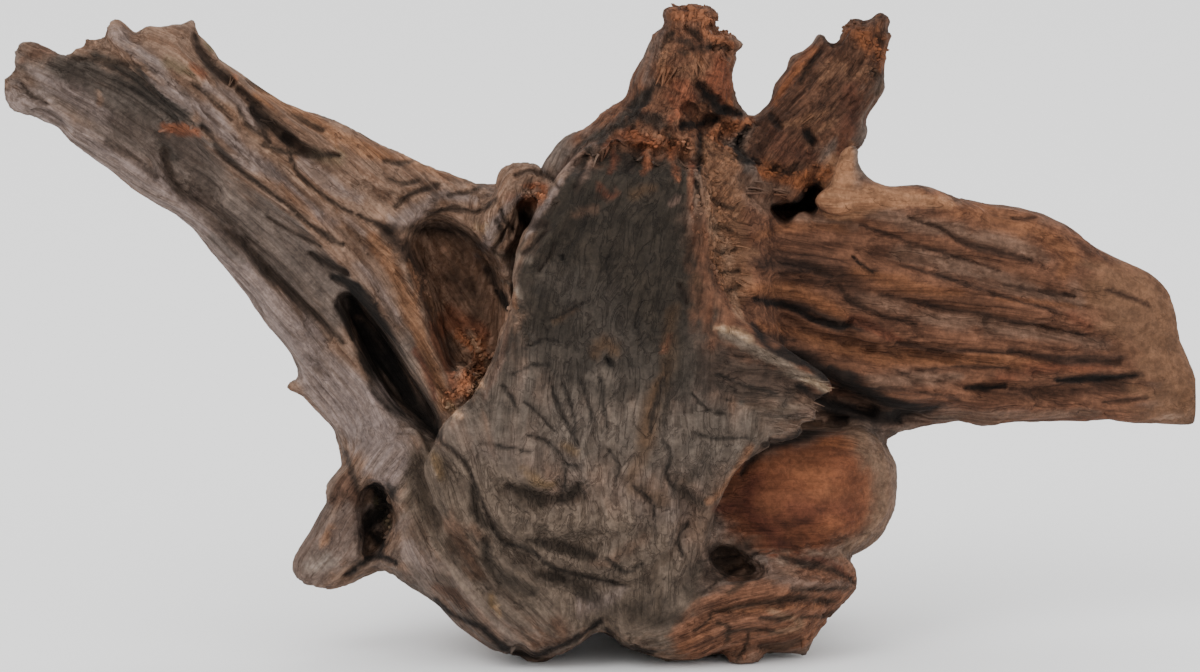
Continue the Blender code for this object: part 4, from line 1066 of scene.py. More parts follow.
    patch(Tone.PLANK_PINK, 0.8, 0.9, (736, 176, 10), (760, 184, 12), (784, 186, 8)),
    patch(
        Tone.SPUR_PALE, 0.9, 0.7, (722, 332, 8), (744, 342, 9), (780, 362, 8), (812, 378, 8), (828, 392, 7),
        far=-70.0,
    ),
    patch(Tone.CREAM, 0.6, 0.8, (716, 326, 4), (736, 330, 6), (748, 338, 5), far=-66.0),
    patch(Tone.CREAM, 0.5, 0.8, (806, 378, 4), (824, 386, 5), (828, 392, 5), far=-70.0),
    patch(Tone.SPUR_PALE, 0.5, 0.9, (740, 404, 5), (780, 408, 6), (806, 404, 5), far=-70.0),
    # the dome and its rim, with a painted highlight on the dome's top and painted shade on its left and
    # lower side
    patch(Tone.DOME, 1.0, 0.35, (770, 500, 66), (836, 492, 66), near=-58.0, far=-20.0),
    patch(Tone.DOME_HIGHLIGHT, 0.9, 0.9, (800, 470, 22), (826, 488, 28), (830, 520, 18), near=-58.0, far=-20.0),
    patch(Tone.DOME_RED_SHADED, 0.9, 0.9, (752, 476, 16), (746, 510, 18), (776, 540, 20), near=-58.0, far=-20.0),
    patch(Tone.DOME_RED_SHADED, 0.6, 0.9, (790, 508, 16), (812, 512, 20), (846, 508, 14), near=-58.0, far=-20.0),
    patch(Tone.DOME_SPOT, 0.8, 0.9, (776, 521, 5), (786, 524, 6), (792, 526, 4), near=-58.0, far=-20.0),
    patch(Tone.DOME_SPOT, 0.8, 0.9, (796, 519, 4), (806, 520, 5), near=-58.0, far=-20.0),
    patch(Tone.DOME_SPOT, 0.6, 0.9, (812, 510, 4), (822, 511, 5), near=-58.0, far=-20.0),
    patch(Tone.DOME_SPOT, 0.5, 0.9, (830, 478, 3), (836, 482, 4), near=-58.0, far=-20.0),
    # painted shade on the dome's lower side
    patch(Tone.DOME_SPOT, 0.5, 0.9, (760, 530, 8), (776, 540, 9), (796, 548, 6), near=-58.0, far=-20.0),
    patch(
        Tone.RIM, 0.95, 1.0, (856, 436, 18), (882, 466, 24), (882, 500, 22), (870, 532, 18), (846, 548, 13),
        near=-56.0, far=-10.0,
    ),
    # a painted highlight and painted shade where the dome meets its rim
    patch(Tone.DOME_HIGHLIGHT, 0.6, 0.9, (868, 470, 5), (866, 500, 7), (856, 524, 6), near=-56.0, far=-20.0),
    patch(Tone.DOME_RED_SHADED, 0.5, 0.9, (852, 522, 5), (860, 512, 5), (866, 500, 4), near=-56.0, far=-20.0),
    patch(Tone.BRANCH_ORANGE, 0.7, 0.9, (820, 442, 8), (850, 444, 8)),
    patch(Tone.BEIGE, 0.9, 0.8, (748, 446, 6), (740, 462, 7), (726, 484, 7), (708, 500, 6), far=-56.0),
    # painted shade on the dome's left, beside the slab
    patch(Tone.DOME_RED_SHADED, 0.9, 0.8, (716, 508, 8), (732, 506, 8), far=-50.0),
    # the heel
    patch(
        Tone.HEEL, 1.0, 0.5, (700, 640, 34), (740, 620, 50), (800, 606, 50), (846, 580, 26), near=-72.0,
        far=-14.0,
    ),
    patch(
        Tone.HEEL_PALE, 0.9, 0.8, (748, 560, 9), (764, 572, 12), (806, 586, 12), (846, 586, 10), near=-70.0,
    ),
    patch(Tone.PLANK_ORANGE, 0.7, 0.9, (722, 612, 6), (770, 608, 7), (820, 606, 6), near=-70.0),
    patch(Tone.PLANK_ORANGE, 0.6, 0.9, (676, 652, 8), (702, 634, 8), (712, 618, 6)),
    # painted shade under the dome's edge
    patch(Tone.DOME_RED_SHADED, 0.7, 0.9, (800, 556, 7), (830, 564, 8), (848, 576, 6)),
    patch(Tone.CREAM, 0.35, 0.9, (770, 612, 5), (800, 624, 6), (770, 634, 5)),
    # the stub
    patch(Tone.STUB, 1.0, 0.5, (300, 574, 34), (322, 548, 34), (350, 516, 30), far=-30.0),
    patch(Tone.STUB_PALE, 0.9, 0.8, (306, 566, 12), (322, 560, 14)),
    patch(Tone.STUB_BROWN, 0.9, 0.7, (330, 498, 12), (340, 480, 12), (350, 500, 10)),
    patch(Tone.ARM_OCHRE, 0.8, 0.9, (324, 528, 6), (320, 544, 7)),
    patch(Tone.STUB, 0.8, 0.8, (392, 528, 8), (404, 520, 6)),
    patch(Tone.MOSS, 0.6, 0.8, (372, 500, 5), (378, 512, 6), (384, 524, 5)),
    patch(Tone.LOWER_OCHRE, 0.4, 0.9, (372, 496, 3), (380, 520, 3)),
    patch(Tone.MOSS, 0.6, 0.9, (200, 40, 5), (206, 46, 5)),
)

SLAB_GRAIN = stroke(
    (640, 140, 70), (640, 240, 90), (640, 340, 110), (640, 440, 150), (640, 520, 110),
    far=-66.0,
)
SPUR_GRAIN = stroke((742, 366, 34), (780, 388, 44), (830, 396, 40), far=-66.0)

ROTTEN = (
    mark(1.0, (688, 10, 44), (690, 70, 60), (690, 120, 60), (610, 125, 30), near=-66.0),
    mark(0.55, (870, 20, 40), (826, 84, 56), (790, 150, 50), near=-50.0),
    mark(0.8, (745, 170, 34), (800, 160, 34), (840, 130, 24), near=-50.0),
    mark(0.6, (868, 26, 24), (876, 50, 16)),
    mark(0.6, (716, 150, 34), (716, 230, 34), (716, 310, 32), near=-74.0, far=-48.0),
    mark(0.9, (470, 335, 30), (465, 390, 26), near=-62.0),
    mark(0.6, (372, 490, 26), (376, 530, 28)),
    mark(0.6, (10, 60, 20), (60, 45, 18), (110, 30, 14)),
    mark(0.5, (150, 118, 14), (190, 130, 14)),
    mark(0.9, (516, 184, 16), (540, 196, 18)),
    mark(0.8, (582, 150, 20), (640, 142, 26), (690, 150, 18)),
    mark(0.5, (440, 250, 30), (456, 300, 40), near=-45.0),
    mark(0.5, (712, 560, 20), (730, 550, 20)),
    mark(0.5, (506, 300, 10), (522, 330, 10)),
)
BACK_TONES = (
    (Tone.LOWER_WARM, 71),
    (Tone.PINK_GREY, 83),
    (Tone.PLANK, 97),
    (Tone.SLAB_MID, 109),
)
WRINKLED = (
    mark(1.0, (690, 430, 60), (700, 500, 64), (670, 560, 60), far=-45.0),
    mark(0.9, (688, 10, 44), (690, 70, 64), (690, 120, 60), (610, 125, 30), near=-66.0),
    mark(0.8, (870, 20, 40), (826, 84, 56), (790, 150, 50), near=-50.0),
    mark(0.5, (380, 190, 40), (450, 200, 40), (500, 200, 40), far=-40.0),
    mark(1.0, (640, 170, 60), (620, 240, 100), (600, 320, 120), (600, 420, 150), far=-66.0),
    mark(1.0, (470, 480, 60), (560, 530, 120), (640, 540, 100), far=-45.0),
    mark(0.8, (740, 380, 50), (800, 400, 40), far=-70.0),
    mark(0.7, (716, 160, 30), (716, 320, 32), near=-74.0, far=-48.0),
    mark(0.6, (700, 640, 34), (780, 610, 50), (846, 585, 30), near=-72.0, far=-14.0),
    mark(0.5, (360, 400, 40), (384, 460, 40), far=-40.0),
)
CRUMBLY = (
    mark(1.0, (456, 336, 16), (474, 360, 20), (452, 402, 16), near=-70.0, far=0.0),
    mark(0.8, (628, 134, 10), (660, 140, 13), (686, 148, 9), far=-30.0),
    mark(0.6, (524, 186, 12), (546, 198, 12), far=-30.0),
    mark(0.5, (700, 170, 14), (712, 240, 20), (718, 320, 18), near=-76.0, far=-48.0),
    mark(0.6, (716, 130, 16), (750, 124, 12), (730, 150, 14), far=-30.0),
    mark(0.6, (752, 168, 12), (790, 172, 14), (820, 168, 10), near=-52.0, far=-30.0),
    mark(0.5, (678, 14, 16), (706, 20, 16), (724, 38, 10)),
    mark(0.5, (850, 26, 14), (876, 40, 14), (868, 64, 10)),
    mark(0.6, (372, 492, 10), (380, 510, 12), (374, 532, 10), far=0.0),
    mark(0.5, (158, 122, 8), (186, 130, 8), far=-40.0),
    mark(0.6, (506, 298, 5), (520, 314, 7), (522, 340, 5), far=-50.0),
    mark(0.4, (404, 262, 7), (416, 292, 8), far=0.0),
)
CALM = (
    mark(0.9, (690, 430, 60), (700, 500, 60), (670, 560, 50), far=-45.0),
    mark(0.9, (780, 480, 70), (860, 490, 60), near=-58.0),
    mark(0.8, (1130, 290, 50), (1180, 350, 80)),
    mark(0.9, (620, 200, 100), (610, 330, 120), (600, 420, 130), far=-66.0),
    mark(0.6, (480, 480, 90), (560, 540, 110), (660, 560, 80), far=-50.0),
    mark(0.6, (840, 165, 30), (900, 190, 20)),
    mark(0.5, (350, 400, 30), (380, 450, 36)),
    mark(0.5, (718, 60, 16), (722, 90, 14)),
)


class NodeSketch:
    """A node tree being drawn: makes nodes, sets their sockets and joins them."""

    def __init__(self, tree: bpy.types.NodeTree) -> None:
        """Starts on this tree."""
        self.tree = tree

    def socket(self, name: str, kind: str, value: object = None, out: bool = False) -> None:
        """Adds a named socket to the tree's interface.

        Args:
            name: The socket's name.
            kind: Its type, such as Float, Vector, Color, Geometry or Material.
            value: Its default value, if it has one.
            out: Whether it is an output.
        """
        made = self.tree.interface.new_socket(
            name, in_out="OUTPUT" if out else "INPUT", socket_type="NodeSocket" + kind
        )
        if value is not None:
            made.default_value = value

    def start(self, values: dict[str, object]) -> bpy.types.bpy_prop_collection:
        """Gives a geometry tree its sockets.

        Args:
            values: The sizes, seed and material that it takes, by name.

        Returns:
            The tree's inputs.
        """
        self.socket("Geometry", "Geometry")
        for name, value in values.items():
            if isinstance(value, bpy.types.Material):
                self.socket(name, "Material")
            else:
                self.socket(name, "Int" if isinstance(value, int) else "Float", value)
        self.socket("Geometry", "Geometry", out=True)
        return self.node("NodeGroupInput").outputs

    def finish(self, geometry: Socket, wood: Socket) -> None:
        """Ends a geometry tree on real geometry in this material."""
        real = self.node("GeometryNodeRealizeInstances", {0: geometry})
        dressed = self.node(
            "GeometryNodeSetMaterial", {"Geometry": real.outputs[0], "Material": wood}
        )
        self.node("NodeGroupOutput", {0: dressed.outputs[0]})

    def node(self, kind: str, inputs: dict | None = None, **settings: object) -> bpy.types.Node:
        """Adds a node.

        Args:
            kind: The node's type.
            inputs: Values or output sockets for its inputs, by name or number.
            **settings: The node's own settings.

        Returns:
            The new node.
        """
        made = self.tree.nodes.new(kind)
        for name, value in settings.items():
            setattr(made, name, value)
        for key, value in (inputs or {}).items():
            if isinstance(value, Socket):
                self.tree.links.new(value, made.inputs[key])
            else:
                made.inputs[key].default_value = value
        return made

    def maths(self, operation: str, *values: object) -> Socket:
        """The output of a Math node on these values or sockets."""
        return self.node("ShaderNodeMath", dict(enumerate(values)), operation=operation).outputs[0]

    def times(self, first: object, second: object) -> Socket:
        """The product of two values."""
        return self.maths("MULTIPLY", first, second)

    def minus(self, first: object, second: object) -> Socket:
        """The first value less the second."""
        return self.maths("SUBTRACT", first, second)

    def plus(self, first: object, second: object, share: object = 1.0) -> Socket:
        """The first value and a share of the second."""
        return self.maths("MULTIPLY_ADD", second, share, first)

    def ramp(self, value: object, low: float, high: float) -> Socket:
        """The value eased from 0 at low to 1 at high."""
        made = self.node(
            "ShaderNodeMapRange",
            {"Value": value, "From Min": low, "From Max": high},
            interpolation_type="SMOOTHSTEP",
        )
        return made.outputs["Result"]

    def line(self, noise: object, core: float, edge: float) -> Socket:
        """Thin lines, 1 where the noise is within core of a half and 0 beyond edge."""
        away = self.maths("ABSOLUTE", self.minus(noise, 0.5))
        return self.minus(1.0, self.ramp(away, core, edge))

    def between(self, share: Socket, first: Socket, second: Socket) -> Socket:
        """The value that lies between two by a share."""
        return self.node("ShaderNodeMix", {0: share, 2: first, 3: second}).outputs[0]

    def mixed(self, share: object, first: object, second: object, blend: str = "MIX") -> Socket:
        """Two colours mixed by a share."""
        first, second = (
            colour if isinstance(colour, Socket) else (*colour, 1.0) for colour in (first, second)
        )
        values = {0: share, 6: first, 7: second}
        made = self.node("ShaderNodeMix", data_type="RGBA", blend_type=blend)
        for key, value in values.items():
            if isinstance(value, Socket):
                self.tree.links.new(value, made.inputs[key])
            else:
                made.inputs[key].default_value = value
        return made.outputs[2]

    def tinted(self, colour: Socket, share: object, tint: tuple[float, float, float]) -> Socket:
        """The colour, multiplied by a tint as far as the share says."""
        return self.mixed(share, colour, self.mixed(1.0, colour, tint, "MULTIPLY"))

    def noise(
        self, spot: object, scale: float, detail: float, roughness: float = 0.5, bend: float = 0.0
    ) -> Socket:
        """Noise, bent out of shape by a distortion."""
        sizes = {"Scale": scale, "Detail": detail, "Roughness": roughness, "Distortion": bend}
        return self.node("ShaderNodeTexNoise", {"Vector": spot, **sizes}).outputs[0]

    def grain_noise(
        self,
        grain: object,
        length: float,
        width: float,
        detail: float,
        roughness: float,
        bend: float = 0.0,
    ) -> Socket:
        """Noise drawn out along the grain by a length and across it by a width, in mm."""
        scale = (1 / length, 1 / width, 1 / width)
        spot = self.node("ShaderNodeVectorMath", {0: grain, 1: scale}, operation="MULTIPLY")
        return self.noise(spot.outputs[0], 1.0, detail, roughness, bend)

    def random(self, low: object, high: object, seed: int) -> Socket:
        """A random value or vector between two, one for each instance."""
        if isinstance(low, tuple):
            first, out, kind = 0, 0, "FLOAT_VECTOR"
        else:
            first, out, kind = 2, 1, "FLOAT"
        inputs = {first: low, first + 1: high, "Seed": seed}
        return self.node("FunctionNodeRandomValue", inputs, data_type=kind).outputs[out]

    def read(self, name: str, kind: str = "FLOAT_VECTOR") -> Socket:
        """An attribute of the geometry, in a geometry tree."""
        return self.node(
            "GeometryNodeInputNamedAttribute", {"Name": name}, data_type=kind
        ).outputs[0]

    def keep(self, geometry: Socket, name: str, value: Socket, domain: str) -> Socket:
        """The geometry with a value stored under a name."""
        inputs = {"Geometry": geometry, "Name": name, "Value": value}
        return self.node(
            "GeometryNodeStoreNamedAttribute", inputs, data_type="FLOAT", domain=domain
        ).outputs[0]

    def parts(self, vector: Socket) -> tuple[Socket, ...]:
        """The three parts of a vector."""
        return tuple(self.node("ShaderNodeSeparateXYZ", {0: vector}).outputs)


def shader_group(name: str, takes: str, gives: tuple[str, ...]) -> tuple[NodeSketch, Socket]:
    """Starts a shader group that takes one vector.

    Args:
        name: The group's name.
        takes: The vector's name.
        gives: The names of the values that it gives.

    Returns:
        The group's sketch and the vector.
    """
    sketch = NodeSketch(bpy.data.node_groups.new(name, "ShaderNodeTree"))
    sketch.socket(takes, "Vector")
    for each in gives:
        sketch.socket(each, "Float", out=True)
    return sketch, sketch.node("NodeGroupInput").outputs[takes]


def fibre_group() -> bpy.types.NodeTree:
    """The wood's fibres, as a group that each wooden material uses.

    Returns:
        A group from grain coordinates in mm to fibres, thin crack lines, which the wood
        darkens as painted shade, a height and wavy wrinkles.
    """
    found = bpy.data.node_groups.get("wood_fibres")
    if found:
        return found
    sketch, grain = shader_group("wood_fibres", "Grain", FIBRE_PARTS)
    bands = sketch.grain_noise(grain, 150.0, 7.0, 3.0, 0.5)
    strands = sketch.grain_noise(grain, 85.0, 2.4, 4.0, 0.6)
    threads = sketch.grain_noise(grain, 34.0, 0.7, 3.0, 0.6)
    crack = sketch.grain_noise(grain, 120.0, 4.5, 2.0, 0.5)
    folds = sketch.grain_noise(grain, 17.0, 5.5, 3.0, 0.62, 1.1)
    blend = sketch.plus(sketch.times(bands, 0.3), strands, 0.45)
    fibres = sketch.ramp(sketch.plus(blend, threads, 0.25), 0.4, 0.6)
    lines = sketch.times(sketch.line(crack, 0.002, 0.014), sketch.ramp(bands, 0.45, 0.58))
    height = sketch.plus(sketch.plus(strands, threads, 0.5), lines, -0.6)
    wrinkles = sketch.line(folds, 0.0, 0.05)
    sketch.node("NodeGroupOutput", dict(zip(FIBRE_PARTS, (fibres, lines, height, wrinkles))))
    return sketch.tree


def crumble_group() -> bpy.types.NodeTree:
    """Crumbled, rotten wood, as a group.

    Returns:
        A group from Object coordinates to pits, darkened as painted shade, bright crumbs and a height.
    """
    found = bpy.data.node_groups.get("crumbled_wood")
    if found:
        return found
    gives = ("Pits", "Crumbs", "Height")
    sketch, spot = shader_group("crumbled_wood", "Spot", gives)
    coarse = sketch.noise(spot, 270.0, 4.0, 0.66, 0.9)
    cells = sketch.node("ShaderNodeTexVoronoi", {"Vector": spot, "Scale": 520.0})
    pits = sketch.ramp(coarse, 0.47, 0.34)
    crumbs = sketch.ramp(coarse, 0.52, 0.64)
    height = sketch.plus(coarse, cells.outputs["Distance"], -0.3)
    sketch.node("NodeGroupOutput", dict(zip(gives, (pits, crumbs, height))))
    return sketch.tree


@dataclass(frozen=True)
class Finish:
    """A dry, matt surface of wood."""

    name: str
    roughness: float
    gloss: float
    bump: float
    bump_reach: float

    def make(self) -> bpy.types.Material:
        """Builds the material, from the tones and the grain that its mesh keeps."""
        material = bpy.data.materials.new(self.name)
        material.use_nodes = True
        sketch = NodeSketch(material.node_tree)
        surface = material.node_tree.nodes["Principled BSDF"]
        surface.inputs["Specular IOR Level"].default_value = self.gloss
        place = sketch.node("ShaderNodeTexCoord").outputs["Object"]
        crumble = sketch.node("ShaderNodeGroup", {"Spot": place}, node_tree=crumble_group())
        colour, rough, height = self.draw(sketch, place, crumble.outputs)
        bump = sketch.node(
            "ShaderNodeBump",
            {"Strength": self.bump, "Distance": self.bump_reach, "Height": height},
        )
        link = material.node_tree.links.new
        link(colour, surface.inputs["Base Color"])
        link(bump.outputs[0], surface.inputs["Normal"])
        if isinstance(rough, Socket):
            link(rough, surface.inputs["Roughness"])
        else:
            surface.inputs["Roughness"].default_value = rough
        return material

    def draw(
        self, sketch: NodeSketch, place: Socket, crumble: bpy.types.bpy_prop_collection
    ) -> tuple[Socket, float | Socket, Socket]:
        """Draws the surface.

        Args:
            sketch: The material's sketch.
            place: Object coordinates.
            crumble: The crumble group's outputs.

        Returns:
            The colour, the roughness and the height.
        """
        raise NotImplementedError

    @staticmethod
    def attribute(sketch: NodeSketch, name: str, part: str = "Vector") -> Socket:
        """An attribute of the mesh, in a material."""
        return sketch.node("ShaderNodeAttribute", attribute_name=name).outputs[part]

    @staticmethod
    def fibres(sketch: NodeSketch, grain: Socket) -> bpy.types.bpy_prop_collection:
        """The fibre group's outputs for this grain."""
        return sketch.node("ShaderNodeGroup", {"Grain": grain}, node_tree=fibre_group()).outputs


@dataclass(frozen=True)
class WoodFinish(Finish):
    """The weathered surface, in the skin's painted tones."""

    name: str = "weathered_wood"
    roughness: float = 0.82
    gloss: float = 0.18
    bump: float = 0.8
    bump_reach: float = 0.9 * MM

    def draw(
        self, sketch: NodeSketch, place: Socket, crumble: bpy.types.bpy_prop_collection
    ) -> tuple[Socket, Socket, Socket]:
        """Draws the tones, with painted shade in hollows, pits, splits, cracks and creases, and pale where
        worn.
        """
        lean, rot, calm = sketch.parts(self.attribute(sketch, "marks"))
        hollow, split, _ = sketch.parts(self.attribute(sketch, "shape"))
        wrinkled, _, _ = sketch.parts(self.attribute(sketch, "places"))
        first, second = (
            self.fibres(sketch, self.attribute(sketch, name))
            for name in ("grain_first", "grain_second")
        )
        fibres, lines, height, wrinkles = (
            sketch.between(lean, first[part], second[part]) for part in FIBRE_PARTS
        )
        mottle = sketch.noise(place, 110.0, 7.0, 0.68, 0.3)
        flecks = sketch.noise(place, 480.0, 3.0, 0.7, 0.5)
        steady = sketch.minus(1.0, calm)
        crease = sketch.times(wrinkles, wrinkled)

        soft = sketch.plus(sketch.plus(1.0, calm, -0.55), rot, -0.35)
        amount = sketch.times(fibres, sketch.maths("MAXIMUM", soft, 0.25))
        tones = (self.attribute(sketch, name, "Color") for name in ("tone", "fibre"))
        colour = sketch.mixed(amount, *tones)
        for noise, low, high, swing in ((mottle, 0.3, 0.7, 0.26), (flecks, 0.35, 0.65, 0.18)):
            dim, bright = ((1 + side * swing,) * 3 for side in (-1, 1))
            shade = sketch.mixed(sketch.ramp(noise, low, high), dim, bright)
            colour = sketch.mixed(1.0, colour, shade, "MULTIPLY")
        fine = sketch.times(lines, sketch.times(steady, 0.6))
        crumbs, pits = (sketch.times(crumble[part], rot) for part in ("Crumbs", "Pits"))
        worn = sketch.ramp(hollow, -0.3, -1.0)
        # painted shade in the creases of the wrinkles
        colour = sketch.tinted(colour, sketch.times(crease, 0.6), (0.5, 0.47, 0.45))
        colour = sketch.tinted(colour, sketch.times(crumbs, 0.8), (1.62, 1.5, 1.42))
        # painted shade in the pits of the rotten wood
        colour = sketch.tinted(colour, sketch.times(pits, 0.85), (0.36, 0.3, 0.27))
        # painted shade: hollows are darkened towards a deep brown
        dark = sketch.times(sketch.ramp(hollow, 0.3, 1.1), 0.55)
        deep = sketch.mixed(1.0, colour, (0.4, 0.36, 0.33), "MULTIPLY")
        colour = sketch.mixed(dark, colour, deep)
        # painted shade in the relief's splits and the fibres' thin cracks
        opened = sketch.maths("MAXIMUM", fine, sketch.times(split, 0.35))
        colour = sketch.mixed(opened, colour, deep)
        colour = sketch.tinted(colour, sketch.times(worn, 0.6), (1.25, 1.23, 1.21))

        rough = sketch.plus(self.roughness, fibres, 0.1)
        height = sketch.times(height, sketch.plus(0.3, steady, 0.7))
        for more, share in ((mottle, 1.1), (crease, -0.7), (flecks, 0.35)):
            height = sketch.plus(height, more, share)
        return colour, rough, sketch.plus(height, crumble["Height"], sketch.times(rot, 2.0))


@dataclass(frozen=True)
class TornFinish(Finish):
    """The fresher wood of splinters and crumbs, in their own tones."""

    name: str = "torn_wood"
    roughness: float = 0.86
    gloss: float = 0.15
    bump: float = 0.6
    bump_reach: float = 0.4 * MM

    def draw(
        self, sketch: NodeSketch, place: Socket, crumble: bpy.types.bpy_prop_collection
    ) -> tuple[Socket, float, Socket]:
        """Draws the tones with painted shade in pits and pale bits, as rough all over."""
        threads = self.fibres(sketch, self.attribute(sketch, "grain_first"))
        tones = (self.attribute(sketch, name, "Color") for name in ("tone", "fibre"))
        colour = sketch.mixed(sketch.times(threads["Fibres"], 0.6), *tones)
        # painted shade in the pits
        colour = sketch.tinted(colour, sketch.times(crumble["Pits"], 0.5), (0.55, 0.48, 0.44))
        colour = sketch.tinted(colour, self.attribute(sketch, "shade", "Fac"), (1.6, 1.52, 1.45))
        return colour, self.roughness, sketch.plus(threads["Height"], crumble["Height"])


def grown(
    base: bpy.types.Object, tree: bpy.types.NodeTree, values: dict[str, object]
) -> bpy.types.Mesh:
    """Runs a geometry tree on an object.

    Args:
        base: The object that the tree starts from.
        tree: The tree.
        values: The tree's inputs by name.

    Returns:
        The mesh that the tree makes. No modifier stays on the object.
    """
    run = base.modifiers.new("Growth", "NODES")
    run.node_group = tree
    for item in tree.interface.items_tree:
        if item.in_out == "INPUT" and item.name in values:
            run[item.identifier] = values[item.name]
    made = evaluated_mesh(base)
    base.modifiers.clear()
    return made


def evaluated_mesh(carrier: bpy.types.Object) -> bpy.types.Mesh:
    """The object's mesh with its modifiers applied."""
    graph = bpy.context.evaluated_depsgraph_get()
    return bpy.data.meshes.new_from_object(carrier.evaluated_get(graph))


def linked(name: str, data: bpy.types.ID) -> bpy.types.Object:
    """A new object in the scene."""
    made = bpy.data.objects.new(name, data)
    bpy.context.scene.collection.objects.link(made)
    return made


def rows_of(data: bpy.types.bpy_prop_collection, key: str, width: int) -> np.ndarray:
    """The values that a mesh keeps in a layer, one row each."""
    values = np.empty(len(data) * width)
    data.foreach_get(key, values)
    return values.reshape(-1, width)


def arrays(mesh: bpy.types.Mesh) -> tuple[np.ndarray, np.ndarray]:
    """The positions and normals of the mesh's vertices."""
    return rows_of(mesh.vertices, "co", 3), rows_of(mesh.vertices, "normal", 3)


def move_to(mesh: bpy.types.Mesh, spots: np.ndarray) -> None:
    """Moves the mesh's vertices to these spots."""
    mesh.vertices.foreach_set("co", spots.ravel())
    mesh.update()


def store(mesh: bpy.types.Mesh, name: str, values: np.ndarray) -> None:
    """Keeps a vector for each of the mesh's vertices under a name."""
    layer = mesh.attributes.get(name) or mesh.attributes.new(name, "FLOAT_VECTOR", "POINT")
    layer.data.foreach_set("vector", values.astype(np.float32).ravel())


def store_colours(mesh: bpy.types.Mesh, name: str, rows: np.ndarray) -> None:
    """Keeps a colour for each of the mesh's vertices under a name."""
    layer = mesh.color_attributes.new(name, "FLOAT_COLOR", "POINT")
    layer.data.foreach_set("color", rows.astype(np.float32).ravel())


def stored(mesh: bpy.types.Mesh, name: str) -> np.ndarray:
    """The vectors kept under a name, one for each of the mesh's vertices."""
    return rows_of(mesh.attributes[name].data, "vector", 3)


def keep_inside(mesh: bpy.types.Mesh, solid: bpy.types.Object) -> None:
    """Holds a mesh within the solid's box, so that it rests where the solid does."""
    corners = np.array([corner[:] for corner in solid.bound_box])
    move_to(mesh, np.clip(arrays(mesh)[0], corners.min(0), corners.max(0)))


@dataclass(frozen=True)
class GrainRelief:
    """The grain's ridges and splits and the rotten wood's pits, as geometry nodes."""

    ridge_width: float = 5.0
    ridge_length: float = 160.0
    ridge_height: float = 0.42
    split_width: float = 9.0
    split_length: float = 190.0
    split_depth: float = 0.9
    rot_height: float = 2.4
    wrinkle_depth: float = 0.7
    wrinkle_width: float = 11.0
    wrinkle_length: float = 34.0
    seed: float = 3.0

    def apply(self, skin: bpy.types.Object, wood: bpy.types.Material) -> bpy.types.Mesh:
        """Runs the tree on the skin.

        Args:
            skin: The skin with its grain attributes.
            wood: The wood's material.

        Returns:
            The raised mesh. The modifier is gone from the skin.
        """
        values = {name.replace("_", " ").title(): value for name, value in vars(self).items()}
        values["Wood"] = wood
        return grown(skin, self.tree(values), values)

    def tree(self, values: dict[str, object]) -> bpy.types.NodeTree:
        """Builds the tree, which reads the skin's grain attributes and moves its points."""
        sketch = NodeSketch(bpy.data.node_groups.new("grain_relief", "GeometryNodeTree"))
        given = sketch.start(values)
        lean, rot, calm = sketch.parts(sketch.read("marks"))
        wrinkled, _, _ = sketch.parts(sketch.read("places"))
        grains = [sketch.read(name) for name in ("grain_first", "grain_second")]
        blends = []
        for form, *look in (("Ridge", 3.0, 0.0), ("Split", 2.0, 0.0), ("Wrinkle", 2.0, 0.8)):
            given_size = given[f"{form} Length"], given[f"{form} Width"], given["Seed"]
            noises = (self.noise(sketch, grain, *given_size, *look) for grain in grains)
            blends.append(sketch.between(lean, *noises))
        ridge, crack, fold = blends
        place = sketch.node("GeometryNodeInputPosition").outputs[0]
        decay = sketch.noise(place, 200.0, 3.0, 0.6, 0.8)
        patchy = sketch.noise(place, 28.0, 1.0)
        gain = sketch.minus(1.0, calm)
        raised = sketch.minus(sketch.times(sketch.ramp(ridge, 0.36, 0.64), 2.0), 1.0)
        raised = sketch.times(raised, given["Ridge Height"])
        opened = sketch.times(sketch.line(crack, 0.0, 0.05), sketch.ramp(patchy, 0.52, 0.62))
        opened = sketch.times(opened, gain)
        deep = sketch.times(opened, given["Split Depth"])
        pitted = sketch.times(sketch.minus(decay, 0.5), given["Rot Height"])
        pitted = sketch.times(sketch.times(pitted, 2.0), rot)
        lift = sketch.minus(sketch.times(raised, gain), deep)
        lift = sketch.plus(lift, pitted)
        depth = sketch.times(wrinkled, given["Wrinkle Depth"])
        lift = sketch.minus(lift, sketch.times(sketch.line(fold, 0.0, 0.13), depth))
        normal = sketch.node("GeometryNodeInputNormal").outputs[0]
        move = sketch.node(
            "ShaderNodeVectorMath", {0: normal, "Scale": sketch.times(lift, MM)}, operation="SCALE"
        )
        kept = sketch.keep(given["Geometry"], "split", opened, "POINT")
        moved = sketch.node(
            "GeometryNodeSetPosition", {"Geometry": kept, "Offset": move.outputs[0]}
        )
        sketch.finish(moved.outputs[0], given["Wood"])
        return sketch.tree

    @staticmethod
    def noise(
        sketch: NodeSketch,
        grain: Socket,
        length: Socket,
        width: Socket,
        seed: Socket,
        detail: float,
        bend: float,
    ) -> Socket:
        """Noise drawn out along the grain by a length and across it by a width."""
        size = sketch.node("ShaderNodeCombineXYZ", {0: length, 1: width, 2: width})
        spot = sketch.node(
            "ShaderNodeVectorMath", {0: grain, 1: size.outputs[0]}, operation="DIVIDE"
        )
        sizes = {"Scale": 1.0, "Detail": detail, "Roughness": 0.55, "Distortion": bend}
        return sketch.node(
            "ShaderNodeTexNoise",
            {"Vector": spot.outputs[0], "W": seed, **sizes},
            noise_dimensions="4D",
        ).outputs[0]


